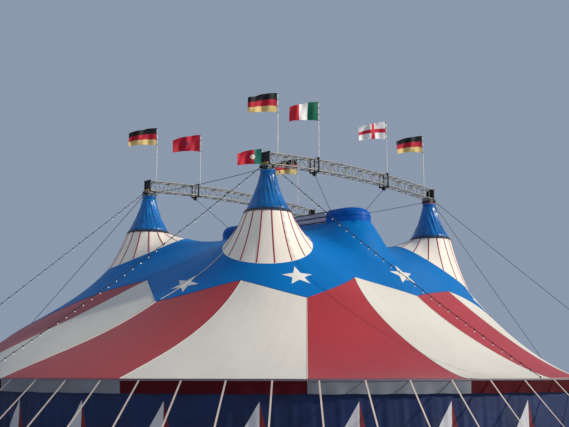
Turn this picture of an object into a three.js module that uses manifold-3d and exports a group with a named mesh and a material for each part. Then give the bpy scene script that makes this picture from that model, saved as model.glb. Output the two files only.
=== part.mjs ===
// A four-mast circus big top, as a 1:2 scale model.
// Sizes below are real sizes in metres. MM turns them into the model's millimetres.
// The origin is on the ground at the middle of the tent. +X runs along the two trusses, +Z is up.
import * as THREE from "three";
import { mergeVertices } from "three/addons/utils/BufferGeometryUtils.js";
import Module from "manifold-3d";

const wasm = await Module();
wasm.setup();

const MODEL_SCALE = 0.5;
const MM = 1000 * MODEL_SCALE;

// Corners closer than these, in model millimetres, are one corner: within a surface, and in a joined solid
const MERGE_TOLERANCE = 0.001;
const WELD_TOLERANCE = 0.05;

// Main layout
const CANOPY_RADIUS = 19.0;
const EAVE_HEIGHT = 3.0;
const TRUSS_SPAN = 14.2;
const TRUSS_SPACING = 10.4;
const TRUSS_TOP = 14.7;
const FABRIC = 0.04;
const SEAM_GAP = 0.0012;
const SEAT_GAP = 0.0007;

// Canopy surface: how strongly each mast and the centre ridge lift the sheet
const RIM_LIFT = -1.6;
const SHOULDER_SAG = -1.7;
const SIDE_SAG = 6.2;
const SIDE_SAG_ANGLE = 135;
const SWELL = 5.0;
const SWELL_ANGLE = 132;
const SWELL_SHARPNESS = 14;
const PEAK_HEIGHT = 11.5;
const PEAK_RADIUS = 1.0;
const CONE_BASE_RADIUS = 2.35;
const RIDGE_HEIGHT = 11.55;
const RIDGE_HALF_LENGTH = 6.1;
const RIDGE_HALF_WIDTH = 1.0;
const RIDGE_FIT_PLACES = [-0.8, -0.4, 0, 0.4, 0.8];
const RIDGE_SOURCES = 13;
const PEAK_CORE = 0.3;
const SKIRT_TOP = 11.8;
const SKIRT_REACH = 1.35;
const SKIRT_CURVE = 1.4;

// Hoods over the mast cones
const HOOD_BASE_RADIUS = 1.27;
const HOOD_BASE_HEIGHT = 11.45;
const HOOD_TOP_RADIUS = 0.36;
const HOOD_FLARE = 1.7;
const HOOD_STEPS = 5;
const ROUND_SEGMENTS = 20;

// Masts
const MAST_HALF_WIDTH = 0.22;
const BASE_PLATE = 1.1;
const BASE_PLATE_THICKNESS = 0.06;
const HEAD_HALF_WIDTH = 0.3;
const HEAD_DEPTH = 0.3;

// Trusses
const TRUSS_DEPTH = 0.6;
const TRUSS_WIDTH = 0.5;
const TRUSS_OVERHANG = 0.15;
const TRUSS_RISE = 0.3;
const TRUSS_BAYS = 8;
const CHORD = 0.09;
const LACING = 0.05;
const CLAMP_PLACES = { south: [0.253, 0.682], north: [0.253, 0.64] };
const CLAMP_WIDTH = 0.66;
const CLAMP_BAR = 0.07;
const CLAMP_BLOCK = 0.22;
const CLAMP_RISE = 0.08;
const CLAMP_DROP = 0.1;
const HANGER = 0.03;
const HANGER_LUG = 0.08;
const HANGER_FOOT_Y = 4.35;
const HANGER_FOOT_Z = 12.2;

// Flagpoles and flags
const FLAGPOLE_PLACES = {
  south: [0.05, 0.278, 0.705, 0.964],
  north: [0.034, 0.278, 0.664, 0.908],
};
const FLAGPOLE_HEIGHT = 3.45;
const FLAGPOLE_WIDTH = 0.07;
const FLAG_LENGTH = 1.68;
const FLAG_HEIGHT = 1.18;
const FLAG_THICKNESS = 0.04;
const FLAG_AZIMUTH = 150;
const FLAG_WAVES = 4;
const FLAG_SWING = 0.09;
const FLAG_TURN_PER_STEP = 0.8;
const FLAG_DROOP = 0.36;
const FLAG_TAPER = 0.28;
const FLAG_TOP_GAP = 0.05;
const FLAG_HOIST_REACH = 0.683;

// Cupola over the centre ridge
const CUPOLA_HALF_LENGTH = 5.95;
const CUPOLA_HALF_WIDTH = 1.12;
const CUPOLA_TOP = 12.65;
const CUPOLA_BAND_TOP = 12.52;
const CUPOLA_FOOT = 10.45;
const CUPOLA_WALL = 0.05;
const CUPOLA_DRUM_LENGTH = 2.1;
const CUPOLA_RIDGE_INSET = 0.08;
const RIDGE_SHOULDER_DEPTH = 0.15;
const RIDGE_SHOULDER_REACH = 0.21;
const DRUM_ARC_STEPS = 10;
const DRUM_SHOULDER_DEPTH = 0.3;
const DRUM_SHOULDER_REACH = 0.22;
const DRUM_SHOULDER_INSET = 0.06;
const DRUM_SHOULDER_DROP = 0.12;
// Rings of a drum from the foot to the flat top: inset from its side, and height
const DRUM_RINGS = [
  [0, CUPOLA_FOOT],
  [0, CUPOLA_TOP - DRUM_SHOULDER_DEPTH],
  [DRUM_SHOULDER_INSET, CUPOLA_TOP - DRUM_SHOULDER_DROP],
  [DRUM_SHOULDER_REACH, CUPOLA_TOP],
];

// Valance, side wall and doorways
const VALANCE_DROP = 0.6;
const WALL_RADIUS = 18.75;
const WALL_THICKNESS = 0.04;
const WALL_TOP = 2.85;
const SIDE_POLE_WIDTH = 0.1;
const SIDE_POLE_COUNT = 32;
const DOOR_WIDTH = 3.0;
const DOOR_ANGLES = [326.25, 146.25];

// Guy straps from the eave to the stakes
const BELT_OFFSET = 0.0065;
const BELT_THICKNESS = 0.04;
const BELT_HEIGHT = 0.1;
const BELT_DROP = 0.01;
const GUY_COUNT = 64;
const GUY_REACH = 3.0;
const GUY_WIDTH = 0.05;
const STAKE_WIDTH = 0.09;
const STAKE_HEIGHT = 0.55;
const STRAP_FOOT_HEIGHT = 0.26;

// Cables from the mast heads
const CABLE_WIDTH = 0.05;
const CABLE_LUG = 0.12;
const CABLE_LUG_HEIGHT = 0.26;
const ANCHOR_WIDTH = 0.3;
const ANCHOR_HEIGHT = 0.25;
const EYE_WIDTH = 0.036;
const EYE_LENGTH = 0.14;
const EYE_HEIGHT = 0.09;

const COLOURS = {
  blue: 0x0a63b0,
  red: 0xb03a40,
  white: 0xdcd6c8,
  cream: 0xefe6d8,
  steel: 0x8d9297,
  dark: 0x20242a,
  mauve: 0x8f8795,
  navy: 0x0c2a66,
  strap: 0xc9b8ad,
};

const rad = THREE.MathUtils.degToRad;
const parts = new THREE.Group();

function add(name, geometry, colour, metalness = 0) {
  const material = new THREE.MeshStandardMaterial({ color: colour, roughness: 0.55, metalness });
  const mesh = new THREE.Mesh(geometry, material);
  mesh.name = name;
  parts.add(mesh);
}

// Masts in plan: west and east ends of the south and north trusses
const MASTS = [
  { name: "south_west", x: -TRUSS_SPAN / 2, y: -TRUSS_SPACING / 2 },
  { name: "north_west", x: -TRUSS_SPAN / 2, y: TRUSS_SPACING / 2 },
  { name: "south_east", x: TRUSS_SPAN / 2, y: -TRUSS_SPACING / 2 },
  { name: "north_east", x: TRUSS_SPAN / 2, y: TRUSS_SPACING / 2 },
];

// Lift of a point source at (px, py) on a sheet that is held level along the eave circle
function sourceLift(x, y, px, py) {
  const distance = Math.max(Math.hypot(x - px, y - py), PEAK_CORE) / CANOPY_RADIUS;
  const offset = Math.hypot(px, py) / CANOPY_RADIUS;
  if (offset === 0) return -Math.log(distance);
  const imageX = px / offset ** 2;
  const imageY = py / offset ** 2;
  const imageDistance = (Math.hypot(x - imageX, y - imageY) / CANOPY_RADIUS) * offset;
  return Math.log(imageDistance / distance);
}

function mastLift(x, y) {
  return MASTS.reduce((sum, mast) => sum + sourceLift(x, y, mast.x, mast.y), 0);
}

function ridgeLift(x, y) {
  let sum = 0;
  for (let i = 0; i < RIDGE_SOURCES; i++) {
    const py = RIDGE_HALF_LENGTH * ((2 * i) / (RIDGE_SOURCES - 1) - 1);
    sum += sourceLift(x, y, 0, py);
  }
  return sum / RIDGE_SOURCES;
}

// The part of the shape that the fabric's cut gives, zero along the eave
function cutLift(x, y) {
  const r = Math.hypot(x, y) / CANOPY_RADIUS;
  return (1 - r * r) * (RIM_LIFT + SHOULDER_SAG * r ** 3);
}

// The tauter north-west side stands higher than the south-east side, and swells between two masts
function sideLift(x, y) {
  const r = Math.hypot(x, y) / CANOPY_RADIUS;
  const angle = Math.atan2(y, x);
  const lean = SIDE_SAG * Math.cos(angle - rad(SIDE_SAG_ANGLE));
  const swell = SWELL * Math.max(0, Math.cos(angle - rad(SWELL_ANGLE))) ** SWELL_SHARPNESS;
  return (lean + swell) * (1 - r * r) * r ** 4;
}

// Strengths that bring the sheet to the cone tops and to the ridge
function solveStrengths() {
  const mean = (points, f) => points.reduce((sum, p) => sum + f(p[0], p[1]), 0) / points.length;
  const ring = [];
  for (let a = 0; a < 360; a += 10) {
    ring.push([
      MASTS[3].x + PEAK_RADIUS * Math.cos(rad(a)),
      MASTS[3].y + PEAK_RADIUS * Math.sin(rad(a)),
    ]);
  }
  const ridge = RIDGE_FIT_PLACES.map((k) => [RIDGE_HALF_WIDTH, k * RIDGE_HALF_LENGTH]);
  const a = mean(ring, mastLift);
  const b = mean(ring, ridgeLift);
  const c = mean(ridge, mastLift);
  const d = mean(ridge, ridgeLift);
  const ringRise = PEAK_HEIGHT - EAVE_HEIGHT - mean(ring, cutLift);
  const ridgeRise = RIDGE_HEIGHT - EAVE_HEIGHT - mean(ridge, cutLift);
  const det = a * d - b * c;
  return { mast: (ringRise * d - ridgeRise * b) / det, ridge: (ridgeRise * a - ringRise * c) / det };
}

const STRENGTH = solveStrengths();

function sheetHeight(x, y) {
  const lift = STRENGTH.mast * mastLift(x, y) + STRENGTH.ridge * ridgeLift(x, y);
  return EAVE_HEIGHT + lift + cutLift(x, y) + sideLift(x, y);
}

const v3 = (x, y, z) => new THREE.Vector3(x, y, z);

// A closed shell from two matching grids of points, the outer face and the inner face
function shell(outer, inner, wrap = false) {
  const rows = outer.length;
  const columns = outer[0].length;
  const count = rows * columns;
  const points = [...outer.flat(), ...inner.flat()];
  const faces = [];
  const quad = (a, b, c, d) => faces.push(a, b, c, a, c, d);
  const at = (i, j) => (i % rows) * columns + j;
  const lastRow = wrap ? rows : rows - 1;
  for (let i = 0; i < lastRow; i++) {
    for (let j = 0; j < columns - 1; j++) {
      quad(at(i, j), at(i, j + 1), at(i + 1, j + 1), at(i + 1, j));
      quad(count + at(i, j), count + at(i + 1, j), count + at(i + 1, j + 1), count + at(i, j + 1));
    }
    quad(at(i, 0), at(i + 1, 0), count + at(i + 1, 0), count + at(i, 0));
    const e = columns - 1;
    quad(at(i, e), count + at(i, e), count + at(i + 1, e), at(i + 1, e));
  }
  if (!wrap) {
    for (let j = 0; j < columns - 1; j++) {
      quad(at(0, j), count + at(0, j), count + at(0, j + 1), at(0, j + 1));
      const r = rows - 1;
      quad(at(r, j), at(r, j + 1), count + at(r, j + 1), count + at(r, j));
    }
  }
  const geometry = new THREE.BufferGeometry();
  const positions = points.flatMap((p) => [p.x * MM, p.y * MM, p.z * MM]);
  geometry.setAttribute("position", new THREE.Float32BufferAttribute(positions, 3));
  geometry.setIndex(faces);
  geometry.computeVertexNormals();
  return geometry;
}

function toSolid(geometry) {
  const bare = geometry.clone();
  bare.deleteAttribute("normal");
  bare.deleteAttribute("uv");
  const merged = mergeVertices(bare, MERGE_TOLERANCE);
  const mesh = new wasm.Mesh({
    numProp: 3,
    vertProperties: merged.attributes.position.array,
    triVerts: new Uint32Array(merged.index.array),
  });
  return new wasm.Manifold(mesh);
}

function toGeometry(solid) {
  const mesh = solid.getMesh();
  const geometry = new THREE.BufferGeometry();
  const positions = [];
  for (let i = 0; i < mesh.numVert; i++) {
    const p = mesh.vertProperties.subarray(i * mesh.numProp, i * mesh.numProp + 3);
    positions.push(p[0], p[1], p[2]);
  }
  geometry.setAttribute("position", new THREE.Float32BufferAttribute(positions, 3));
  geometry.setIndex([...mesh.triVerts]);
  geometry.computeVertexNormals();
  return geometry;
}

function join(bodies) {
  const solids = bodies.map((body) => (body.isBufferGeometry ? toSolid(body) : body));
  const solid = solids.reduce((all, next) => all.add(next));
  return toGeometry(solid.simplify(WELD_TOLERANCE));
}

// A straight bar of square section between two points
function bar(from, to, width, height = width) {
  const length = from.distanceTo(to) * MM;
  const direction = to.clone().sub(from).normalize();
  const turn = new THREE.Quaternion().setFromUnitVectors(v3(0, 1, 0), direction);
  const middle = from.clone().add(to).multiplyScalar(MM / 2);
  const place = new THREE.Matrix4().compose(middle, turn, v3(1, 1, 1));
  return wasm.Manifold.cube([width * MM, length, height * MM], true).transform(place.elements);
}

function box(x, y, z, width, depth, height) {
  const solid = wasm.Manifold.cube([width * MM, depth * MM, height * MM], true);
  return solid.translate([x * MM, y * MM, z * MM]);
}

// Seams between the gores in plan: the inner end at the blue crown, and the angle of the eave end.
// Inner ends alternate between high and low points of the crown's zigzag edge.
const HALF_SEAMS = [
  { inner: [-10.3, 0.8], eave: 161.5, low: false },
  { inner: [-12.25, -2.55], eave: 180, low: true },
  { inner: [-10.0, -6.4], eave: 202.5, low: false },
  { inner: [-8.25, -9.1], eave: 226.4, low: true },
  { inner: [-4.1, -8.55], eave: 247.5, low: false },
  { inner: [-0.4, -9.7], eave: 270, low: true },
  { inner: [4.0, -8.65], eave: 292.5, low: false },
  { inner: [10.0, -9.5], eave: 312.5, low: true },
];
// The blue reaches further down the swollen north-west side
const NORTH_WEST_SEAM = { inner: [-13.5, 9.75], eave: 500, low: true };
const SEAMS = [
  ...HALF_SEAMS,
  ...HALF_SEAMS.slice(0, -1).map((s) => ({
    inner: [-s.inner[0], -s.inner[1]],
    eave: s.eave + 180,
    low: s.low,
  })),
  NORTH_WEST_SEAM,
];

function onEave(angle, radius = CANOPY_RADIUS) {
  return [radius * Math.cos(rad(angle)), radius * Math.sin(rad(angle))];
}

const lerp2 = (a, b, t) => [a[0] + (b[0] - a[0]) * t, a[1] + (b[1] - a[1]) * t];

// Gores with the valance that hangs from their eave
const GORE_ACROSS = 3;
const GORE_ALONG = 6;

function gore(left, right) {
  const outer = [];
  const inner = [];
  const sideShift = SEAM_GAP / 2;
  for (let i = 0; i <= GORE_ACROSS; i++) {
    const t = i / GORE_ACROSS;
    const top = lerp2(left.inner, right.inner, t);
    const foot = onEave(left.eave + (right.eave - left.eave) * t);
    const along = Math.hypot(foot[0] - top[0], foot[1] - top[1]);
    const normal = [-(foot[1] - top[1]) / along, (foot[0] - top[0]) / along];
    const shift = i === 0 ? sideShift : i === GORE_ACROSS ? -sideShift : 0;
    const outerRow = [];
    const innerRow = [];
    for (let j = 0; j <= GORE_ALONG; j++) {
      const start = SEAM_GAP / along;
      const [px, py] = lerp2(top, foot, start + ((1 - start) * j) / GORE_ALONG);
      const x = px + normal[0] * shift;
      const y = py + normal[1] * shift;
      const z = sheetHeight(x, y);
      outerRow.push(v3(x, y, z));
      innerRow.push(j < GORE_ALONG ? v3(x, y, z - FABRIC) : underEave(x, y, z - FABRIC));
    }
    const edge = outerRow[GORE_ALONG];
    const underEdge = innerRow[GORE_ALONG];
    outerRow.push(v3(edge.x, edge.y, EAVE_HEIGHT - VALANCE_DROP));
    innerRow.push(v3(underEdge.x, underEdge.y, EAVE_HEIGHT - VALANCE_DROP));
    outer.push(outerRow);
    inner.push(innerRow);
  }
  return shell(outer, inner);
}

function underEave(x, y, z) {
  const k = 1 - FABRIC / Math.hypot(x, y);
  return v3(x * k, y * k, z);
}

SEAMS.forEach((left, i) => {
  const next = SEAMS[(i + 1) % SEAMS.length];
  const right = { inner: next.inner, eave: i === SEAMS.length - 1 ? next.eave + 360 : next.eave };
  const number = Math.floor(i / 2) + 1;
  if (left.low) add("red_gore_" + number, gore(left, right), COLOURS.red);
  else add("white_gore_" + number, gore(left, right), COLOURS.white);
});

// Blue crown inside the zigzag, with round holes for the cones and a slot under the cupola
const CROWN_STEPS_PER_SIDE = GORE_ACROSS;
const CROWN_RINGS = 5;
// Distances from the cupola's side at which the crown's skirt has rings
const SKIRT_RINGS = [0, 0.3, 0.75, SKIRT_REACH];
const CROWN_START = [0.7, 5.0];
const CROWN_CAP = 0.1;
const SEARCH_STEPS = 40;

function crown() {
  const edge = [];
  SEAMS.forEach((seam, i) => {
    const next = SEAMS[(i + 1) % SEAMS.length];
    for (let k = 0; k < CROWN_STEPS_PER_SIDE; k++) {
      edge.push(lerp2(seam.inner, next.inner, k / CROWN_STEPS_PER_SIDE));
    }
  });
  const outer = [];
  const inner = [];
  edge.forEach(([ex, ey]) => {
    const reach = Math.max(Math.abs(ex) / CROWN_START[0], Math.abs(ey) / CROWN_START[1]);
    const start = [ex / reach, ey / reach];
    const outerRow = [];
    const innerRow = [];
    for (const share of crownShares(start, [ex, ey])) {
      const [x, y] = lerp2(start, [ex, ey], share);
      const z = crownHeight(x, y);
      outerRow.push(v3(x, y, z));
      innerRow.push(v3(x, y, z - FABRIC));
    }
    outer.push(outerRow);
    inner.push(innerRow);
  });
  let solid = toSolid(shell(outer, inner, true));
  MASTS.forEach((mast) => {
    const cutRadius = (CONE_BASE_RADIUS + SEAM_GAP) * MM;
    const depth = 2 * TRUSS_TOP * MM;
    const cut = new THREE.CylinderGeometry(cutRadius, cutRadius, depth, ROUND_SEGMENTS);
    cut.rotateX(Math.PI / 2);
    cut.translate(mast.x * MM, mast.y * MM, 0);
    solid = solid.subtract(toSolid(cut));
  });
  return toGeometry(solid.subtract(cupolaOutlinePrism(SEAM_GAP)).simplify(WELD_TOLERANCE));
}

// Half of the cupola's rounded outline in plan, round the end on the given side
function drumOutline(size, side) {
  const centre = side * (CUPOLA_HALF_LENGTH - CUPOLA_HALF_WIDTH);
  const points = [];
  for (let i = 0; i <= DRUM_ARC_STEPS; i++) {
    const a = (Math.PI * i) / DRUM_ARC_STEPS;
    points.push([-size * Math.cos(a), centre + side * size * Math.sin(a)]);
  }
  return side > 0 ? points.reverse() : points;
}

function cupolaOutlinePrism(gap) {
  const size = CUPOLA_HALF_WIDTH + gap;
  const plan = [...drumOutline(size, -1), ...drumOutline(size, 1)];
  const shape = new THREE.Shape(plan.map(([x, y]) => new THREE.Vector2(x * MM, y * MM)));
  const depth = TRUSS_TOP * MM;
  return toSolid(new THREE.ExtrudeGeometry(shape, { depth, steps: 1, bevelEnabled: false }));
}

// How far a point in plan is outside the cupola's rounded outline
function cupolaDistance(x, y) {
  const straight = CUPOLA_HALF_LENGTH - CUPOLA_HALF_WIDTH;
  return Math.hypot(x, Math.max(0, Math.abs(y) - straight)) - CUPOLA_HALF_WIDTH;
}

// The sheet sweeps up to the cupola in a skirt, and inside it isn't needed higher than the ridge
function crownHeight(x, y) {
  const sheet = Math.min(sheetHeight(x, y), RIDGE_HEIGHT + CROWN_CAP);
  const near = Math.min(1, Math.max(0, 1 - cupolaDistance(x, y) / SKIRT_REACH));
  return sheet + Math.max(0, SKIRT_TOP - sheet) * near ** SKIRT_CURVE;
}

// Shares of the way from the crown's middle to its edge: the skirt's rings, then even steps
function crownShares(start, edge) {
  const skirt = SKIRT_RINGS.map((distance) => {
    let low = 0;
    let high = 1;
    for (let i = 0; i < SEARCH_STEPS; i++) {
      const middle = (low + high) / 2;
      if (cupolaDistance(...lerp2(start, edge, middle)) < distance) low = middle;
      else high = middle;
    }
    return high;
  });
  const shares = [0, ...skirt];
  const last = skirt[skirt.length - 1];
  for (let j = 1; j <= CROWN_RINGS; j++) shares.push(last + ((1 - last) * j) / CROWN_RINGS);
  return shares;
}

add("blue_crown", crown(), COLOURS.blue);

// Cream cones between the crown and the hoods
const CONE_RINGS = 3;
const HEAD_BASE = TRUSS_TOP - TRUSS_DEPTH - CHORD / 2 - SEAT_GAP - HEAD_DEPTH;
const HOOD_TOP_HEIGHT = HEAD_BASE - SEAT_GAP;

// The hood's hem sits on the rim of the cone
const CONE_RIM_HEIGHT = HOOD_BASE_HEIGHT - SEAT_GAP;
const CONE_TOP_RADIUS = HOOD_BASE_RADIUS - FABRIC / 2;

function coneHeight(mast, radius, angle) {
  const x = mast.x + CONE_BASE_RADIUS * Math.cos(angle);
  const y = mast.y + CONE_BASE_RADIUS * Math.sin(angle);
  const fall = Math.log(radius / CONE_TOP_RADIUS) / Math.log(CONE_BASE_RADIUS / CONE_TOP_RADIUS);
  return CONE_RIM_HEIGHT + (sheetHeight(x, y) - CONE_RIM_HEIGHT) * fall;
}

function cone(mast) {
  const outer = [];
  const inner = [];
  for (let i = 0; i < ROUND_SEGMENTS; i++) {
    const angle = (2 * Math.PI * i) / ROUND_SEGMENTS;
    const outerRow = [];
    const innerRow = [];
    for (let j = 0; j <= CONE_RINGS; j++) {
      const radius = CONE_TOP_RADIUS * (CONE_BASE_RADIUS / CONE_TOP_RADIUS) ** (j / CONE_RINGS);
      const shown = Math.min(radius, CONE_BASE_RADIUS - SEAM_GAP);
      const x = mast.x + shown * Math.cos(angle);
      const y = mast.y + shown * Math.sin(angle);
      const z = coneHeight(mast, radius, angle);
      outerRow.push(v3(x, y, z));
      innerRow.push(v3(x - FABRIC * Math.cos(angle), y - FABRIC * Math.sin(angle), z - FABRIC));
    }
    outer.push(outerRow);
    inner.push(innerRow);
  }
  return shell(outer, inner, true);
}

MASTS.forEach((mast) => add("cone_" + mast.name, cone(mast), COLOURS.cream));

// Bell-shaped hoods, closed round the mast at the top
const HOOD_STEP = (HOOD_TOP_HEIGHT - HOOD_BASE_HEIGHT) / HOOD_STEPS;

function hoodRadius(z) {
  const t = (z - HOOD_BASE_HEIGHT) / (HOOD_TOP_HEIGHT - HOOD_BASE_HEIGHT);
  return HOOD_TOP_RADIUS + (HOOD_BASE_RADIUS - HOOD_TOP_RADIUS) * (1 - t) ** HOOD_FLARE;
}

function hood(mast) {
  const outer = [];
  const inner = [];
  for (let j = 0; j <= HOOD_STEPS; j++) {
    const z = HOOD_BASE_HEIGHT + HOOD_STEP * j;
    outer.push(new THREE.Vector2(hoodRadius(z) * MM, z * MM));
    inner.unshift(new THREE.Vector2((hoodRadius(z) - FABRIC) * MM, z * MM));
  }
  const profile = [...outer, ...inner, outer[0].clone()];
  const geometry = new THREE.LatheGeometry(profile, ROUND_SEGMENTS);
  geometry.rotateX(Math.PI / 2);
  return geometry.translate(mast.x * MM, mast.y * MM, 0);
}

MASTS.forEach((mast) => add("hood_" + mast.name, hood(mast), COLOURS.blue));

// Square masts on base plates, with the ring that the cone is laced to and a head under the truss
const BALE_RING_DEPTH = 0.08;
const BALE_RING_WIDTH = 0.07;
const BALE_SPOKE = 0.06;

function baleRing(mast) {
  const top = (CONE_RIM_HEIGHT - FABRIC) * MM;
  const outer = (CONE_TOP_RADIUS - FABRIC - SEAT_GAP) * MM;
  const inner = outer - BALE_RING_WIDTH * MM;
  const low = top - BALE_RING_DEPTH * MM;
  const corners = [[outer, low], [outer, top], [inner, top], [inner, low], [outer, low]];
  const profile = corners.map(([r, z]) => new THREE.Vector2(r, z));
  const ring = new THREE.LatheGeometry(profile, ROUND_SEGMENTS).rotateX(Math.PI / 2);
  const reach = (outer + inner) / 2 / MM;
  const z = (low + top) / 2 / MM;
  return [
    ring.translate(mast.x * MM, mast.y * MM, 0),
    bar(v3(mast.x - reach, mast.y, z), v3(mast.x + reach, mast.y, z), BALE_SPOKE),
    bar(v3(mast.x, mast.y - reach, z), v3(mast.x, mast.y + reach, z), BALE_SPOKE),
  ];
}

function mastColumn(mast) {
  const width = 2 * MAST_HALF_WIDTH;
  const head = 2 * HEAD_HALF_WIDTH;
  return join([
    box(mast.x, mast.y, BASE_PLATE_THICKNESS / 2, BASE_PLATE, BASE_PLATE, BASE_PLATE_THICKNESS),
    box(mast.x, mast.y, (HEAD_BASE + HEAD_DEPTH) / 2, width, width, HEAD_BASE + HEAD_DEPTH),
    box(mast.x, mast.y, HEAD_BASE + HEAD_DEPTH / 2, head, head, HEAD_DEPTH),
    ...baleRing(mast),
  ]);
}

MASTS.forEach((mast) => add("mast_" + mast.name, mastColumn(mast), COLOURS.steel, 0.6));

// Box trusses, slightly arched between the mast heads, with clamp frames and flagpoles
const HEAD_SHARE = HEAD_HALF_WIDTH / TRUSS_SPAN;
const OVERHANG_SHARE = TRUSS_OVERHANG / TRUSS_SPAN;

function archHeight(place) {
  return TRUSS_TOP + TRUSS_RISE * 4 * Math.max(0, (place - HEAD_SHARE) * (1 - HEAD_SHARE - place));
}

// Places of the bay frames along the span, from head to head
const BAY_PLACES = [];
for (let i = 0; i <= TRUSS_BAYS; i++) {
  BAY_PLACES.push(HEAD_SHARE + ((1 - 2 * HEAD_SHARE) * i) / TRUSS_BAYS);
}

function trussPoint(side, place, across, down) {
  const x = (place - 0.5) * TRUSS_SPAN;
  return v3(x, (side * TRUSS_SPACING) / 2 + across, archHeight(place) - down);
}

function chord(side, across, down) {
  const half = CHORD / 2;
  const outer = [];
  const inner = [];
  for (const place of [-OVERHANG_SHARE, ...BAY_PLACES, 1 + OVERHANG_SHARE]) {
    const p = trussPoint(side, place, across, down);
    outer.push([v3(p.x, p.y - half, p.z + half), v3(p.x, p.y - half, p.z - half)]);
    inner.push([v3(p.x, p.y + half, p.z + half), v3(p.x, p.y + half, p.z - half)]);
  }
  return shell(outer, inner);
}

function crossBars(side, place) {
  const half = TRUSS_WIDTH / 2;
  return [0, TRUSS_DEPTH].map((down) =>
    bar(trussPoint(side, place, -half, down), trussPoint(side, place, half, down), LACING),
  );
}

function lacing(side, from, to, up) {
  const half = TRUSS_WIDTH / 2;
  return [-half, half].map((across) => {
    const start = trussPoint(side, from, across, up ? TRUSS_DEPTH : 0);
    const end = trussPoint(side, to, across, up ? 0 : TRUSS_DEPTH);
    return bar(start, end, LACING);
  });
}

// A clamp frame grips the truss and hangs the cupola by a block and a rod
function clampFrame(side, place) {
  const half = CLAMP_WIDTH / 2;
  const rise = CLAMP_RISE;
  const drop = TRUSS_DEPTH + CLAMP_DROP;
  const over = CLAMP_BAR / 2;
  const corner = (across, down) => trussPoint(side, place, across, down);
  const block = corner(0, drop + CLAMP_BLOCK / 2);
  const reach = CUPOLA_HALF_WIDTH + SEAT_GAP + HANGER_LUG / 2;
  const foot = v3(Math.sign(block.x) * reach, side * HANGER_FOOT_Y, HANGER_FOOT_Z);
  return [
    bar(corner(-half, -rise), corner(half, -rise), CLAMP_BAR),
    bar(corner(-half, drop), corner(half, drop), CLAMP_BAR),
    bar(corner(-half, -rise - over), corner(-half, drop + over), CLAMP_BAR),
    bar(corner(half, -rise - over), corner(half, drop + over), CLAMP_BAR),
    bar(corner(0, -rise), corner(0, drop), CLAMP_BAR),
    bar(corner(-half, 0), corner(half, 0), LACING),
    box(block.x, block.y, block.z, CLAMP_BLOCK, CLAMP_BLOCK, CLAMP_BLOCK),
    bar(block, foot, HANGER),
    box(foot.x, foot.y, foot.z, HANGER_LUG, HANGER_LUG, HANGER_LUG),
  ];
}

function flagpole(side, place) {
  const foot = trussPoint(side, place, 0, -LACING / 2);
  const top = foot.clone().setZ(foot.z + FLAGPOLE_HEIGHT);
  const half = TRUSS_WIDTH / 2;
  return [
    bar(foot.clone().setZ(foot.z - LACING), top, FLAGPOLE_WIDTH),
    bar(trussPoint(side, place, -half, 0), trussPoint(side, place, half, 0), LACING),
  ];
}

function endFrame(side, place) {
  const p = trussPoint(side, place, 0, TRUSS_DEPTH / 2);
  return box(p.x, p.y, p.z, CHORD, TRUSS_WIDTH + CHORD, TRUSS_DEPTH + CHORD);
}

// An open frame over the inner edge of the mast head
function headFrame(side, place) {
  const half = TRUSS_WIDTH / 2;
  const uprights = [-half, half].map((across) =>
    bar(trussPoint(side, place, across, 0), trussPoint(side, place, across, TRUSS_DEPTH), LACING),
  );
  return [...uprights, ...crossBars(side, place)];
}

function truss(side, name) {
  const half = TRUSS_WIDTH / 2;
  const bars = [];
  for (const across of [-half, half]) {
    bars.push(chord(side, across, 0), chord(side, across, TRUSS_DEPTH));
  }
  BAY_PLACES.slice(1, TRUSS_BAYS).forEach((place) => bars.push(...crossBars(side, place)));
  for (let i = 0; i < TRUSS_BAYS; i++) {
    bars.push(...lacing(side, BAY_PLACES[i], BAY_PLACES[i + 1], i % 2 === 0));
  }
  for (const place of [-OVERHANG_SHARE, 1 + OVERHANG_SHARE]) bars.push(endFrame(side, place));
  for (const place of [HEAD_SHARE, 1 - HEAD_SHARE]) bars.push(...headFrame(side, place));
  CLAMP_PLACES[name].forEach((place) => bars.push(...clampFrame(side, place)));
  FLAGPOLE_PLACES[name].forEach((place) => bars.push(...flagpole(side, place)));
  return join(bars);
}

// The flag is a wavy plate that tapers away from its pole
function flag(side, place) {
  const foot = trussPoint(side, place, 0, -LACING / 2);
  const outer = [];
  const inner = [];
  const fly = v3(Math.cos(rad(FLAG_AZIMUTH)), Math.sin(rad(FLAG_AZIMUTH)), 0);
  const aside = v3(-fly.y, fly.x, 0);
  const top = foot.z + FLAGPOLE_HEIGHT - FLAG_TOP_GAP;
  const steps = 2 * FLAG_WAVES;
  const hoist = FLAGPOLE_WIDTH * FLAG_HOIST_REACH + SEAT_GAP;
  for (let i = 0; i <= steps; i++) {
    const t = i / steps;
    const swing = FLAG_SWING * Math.sin(i * FLAG_TURN_PER_STEP) * Math.min(1, FLAG_WAVES * t);
    const base = foot.clone().addScaledVector(fly, hoist + FLAG_LENGTH * t);
    base.addScaledVector(aside, swing);
    const upper = base.clone().setZ(top - FLAG_DROOP * t * t);
    const lower = base.clone().setZ(upper.z - FLAG_HEIGHT * (1 - FLAG_TAPER * t));
    const half = aside.clone().multiplyScalar(FLAG_THICKNESS / 2);
    outer.push([upper.clone().sub(half), lower.clone().sub(half)]);
    inner.push([upper.clone().add(half), lower.clone().add(half)]);
  }
  return shell(outer, inner);
}

for (const [side, name] of [[-1, "south"], [1, "north"]]) {
  add("truss_" + name, truss(side, name), COLOURS.steel, 0.6);
  FLAGPOLE_PLACES[name].forEach((place, i) => {
    add("flag_" + name + "_" + (i + 1), flag(side, place), COLOURS.red);
  });
}

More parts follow.
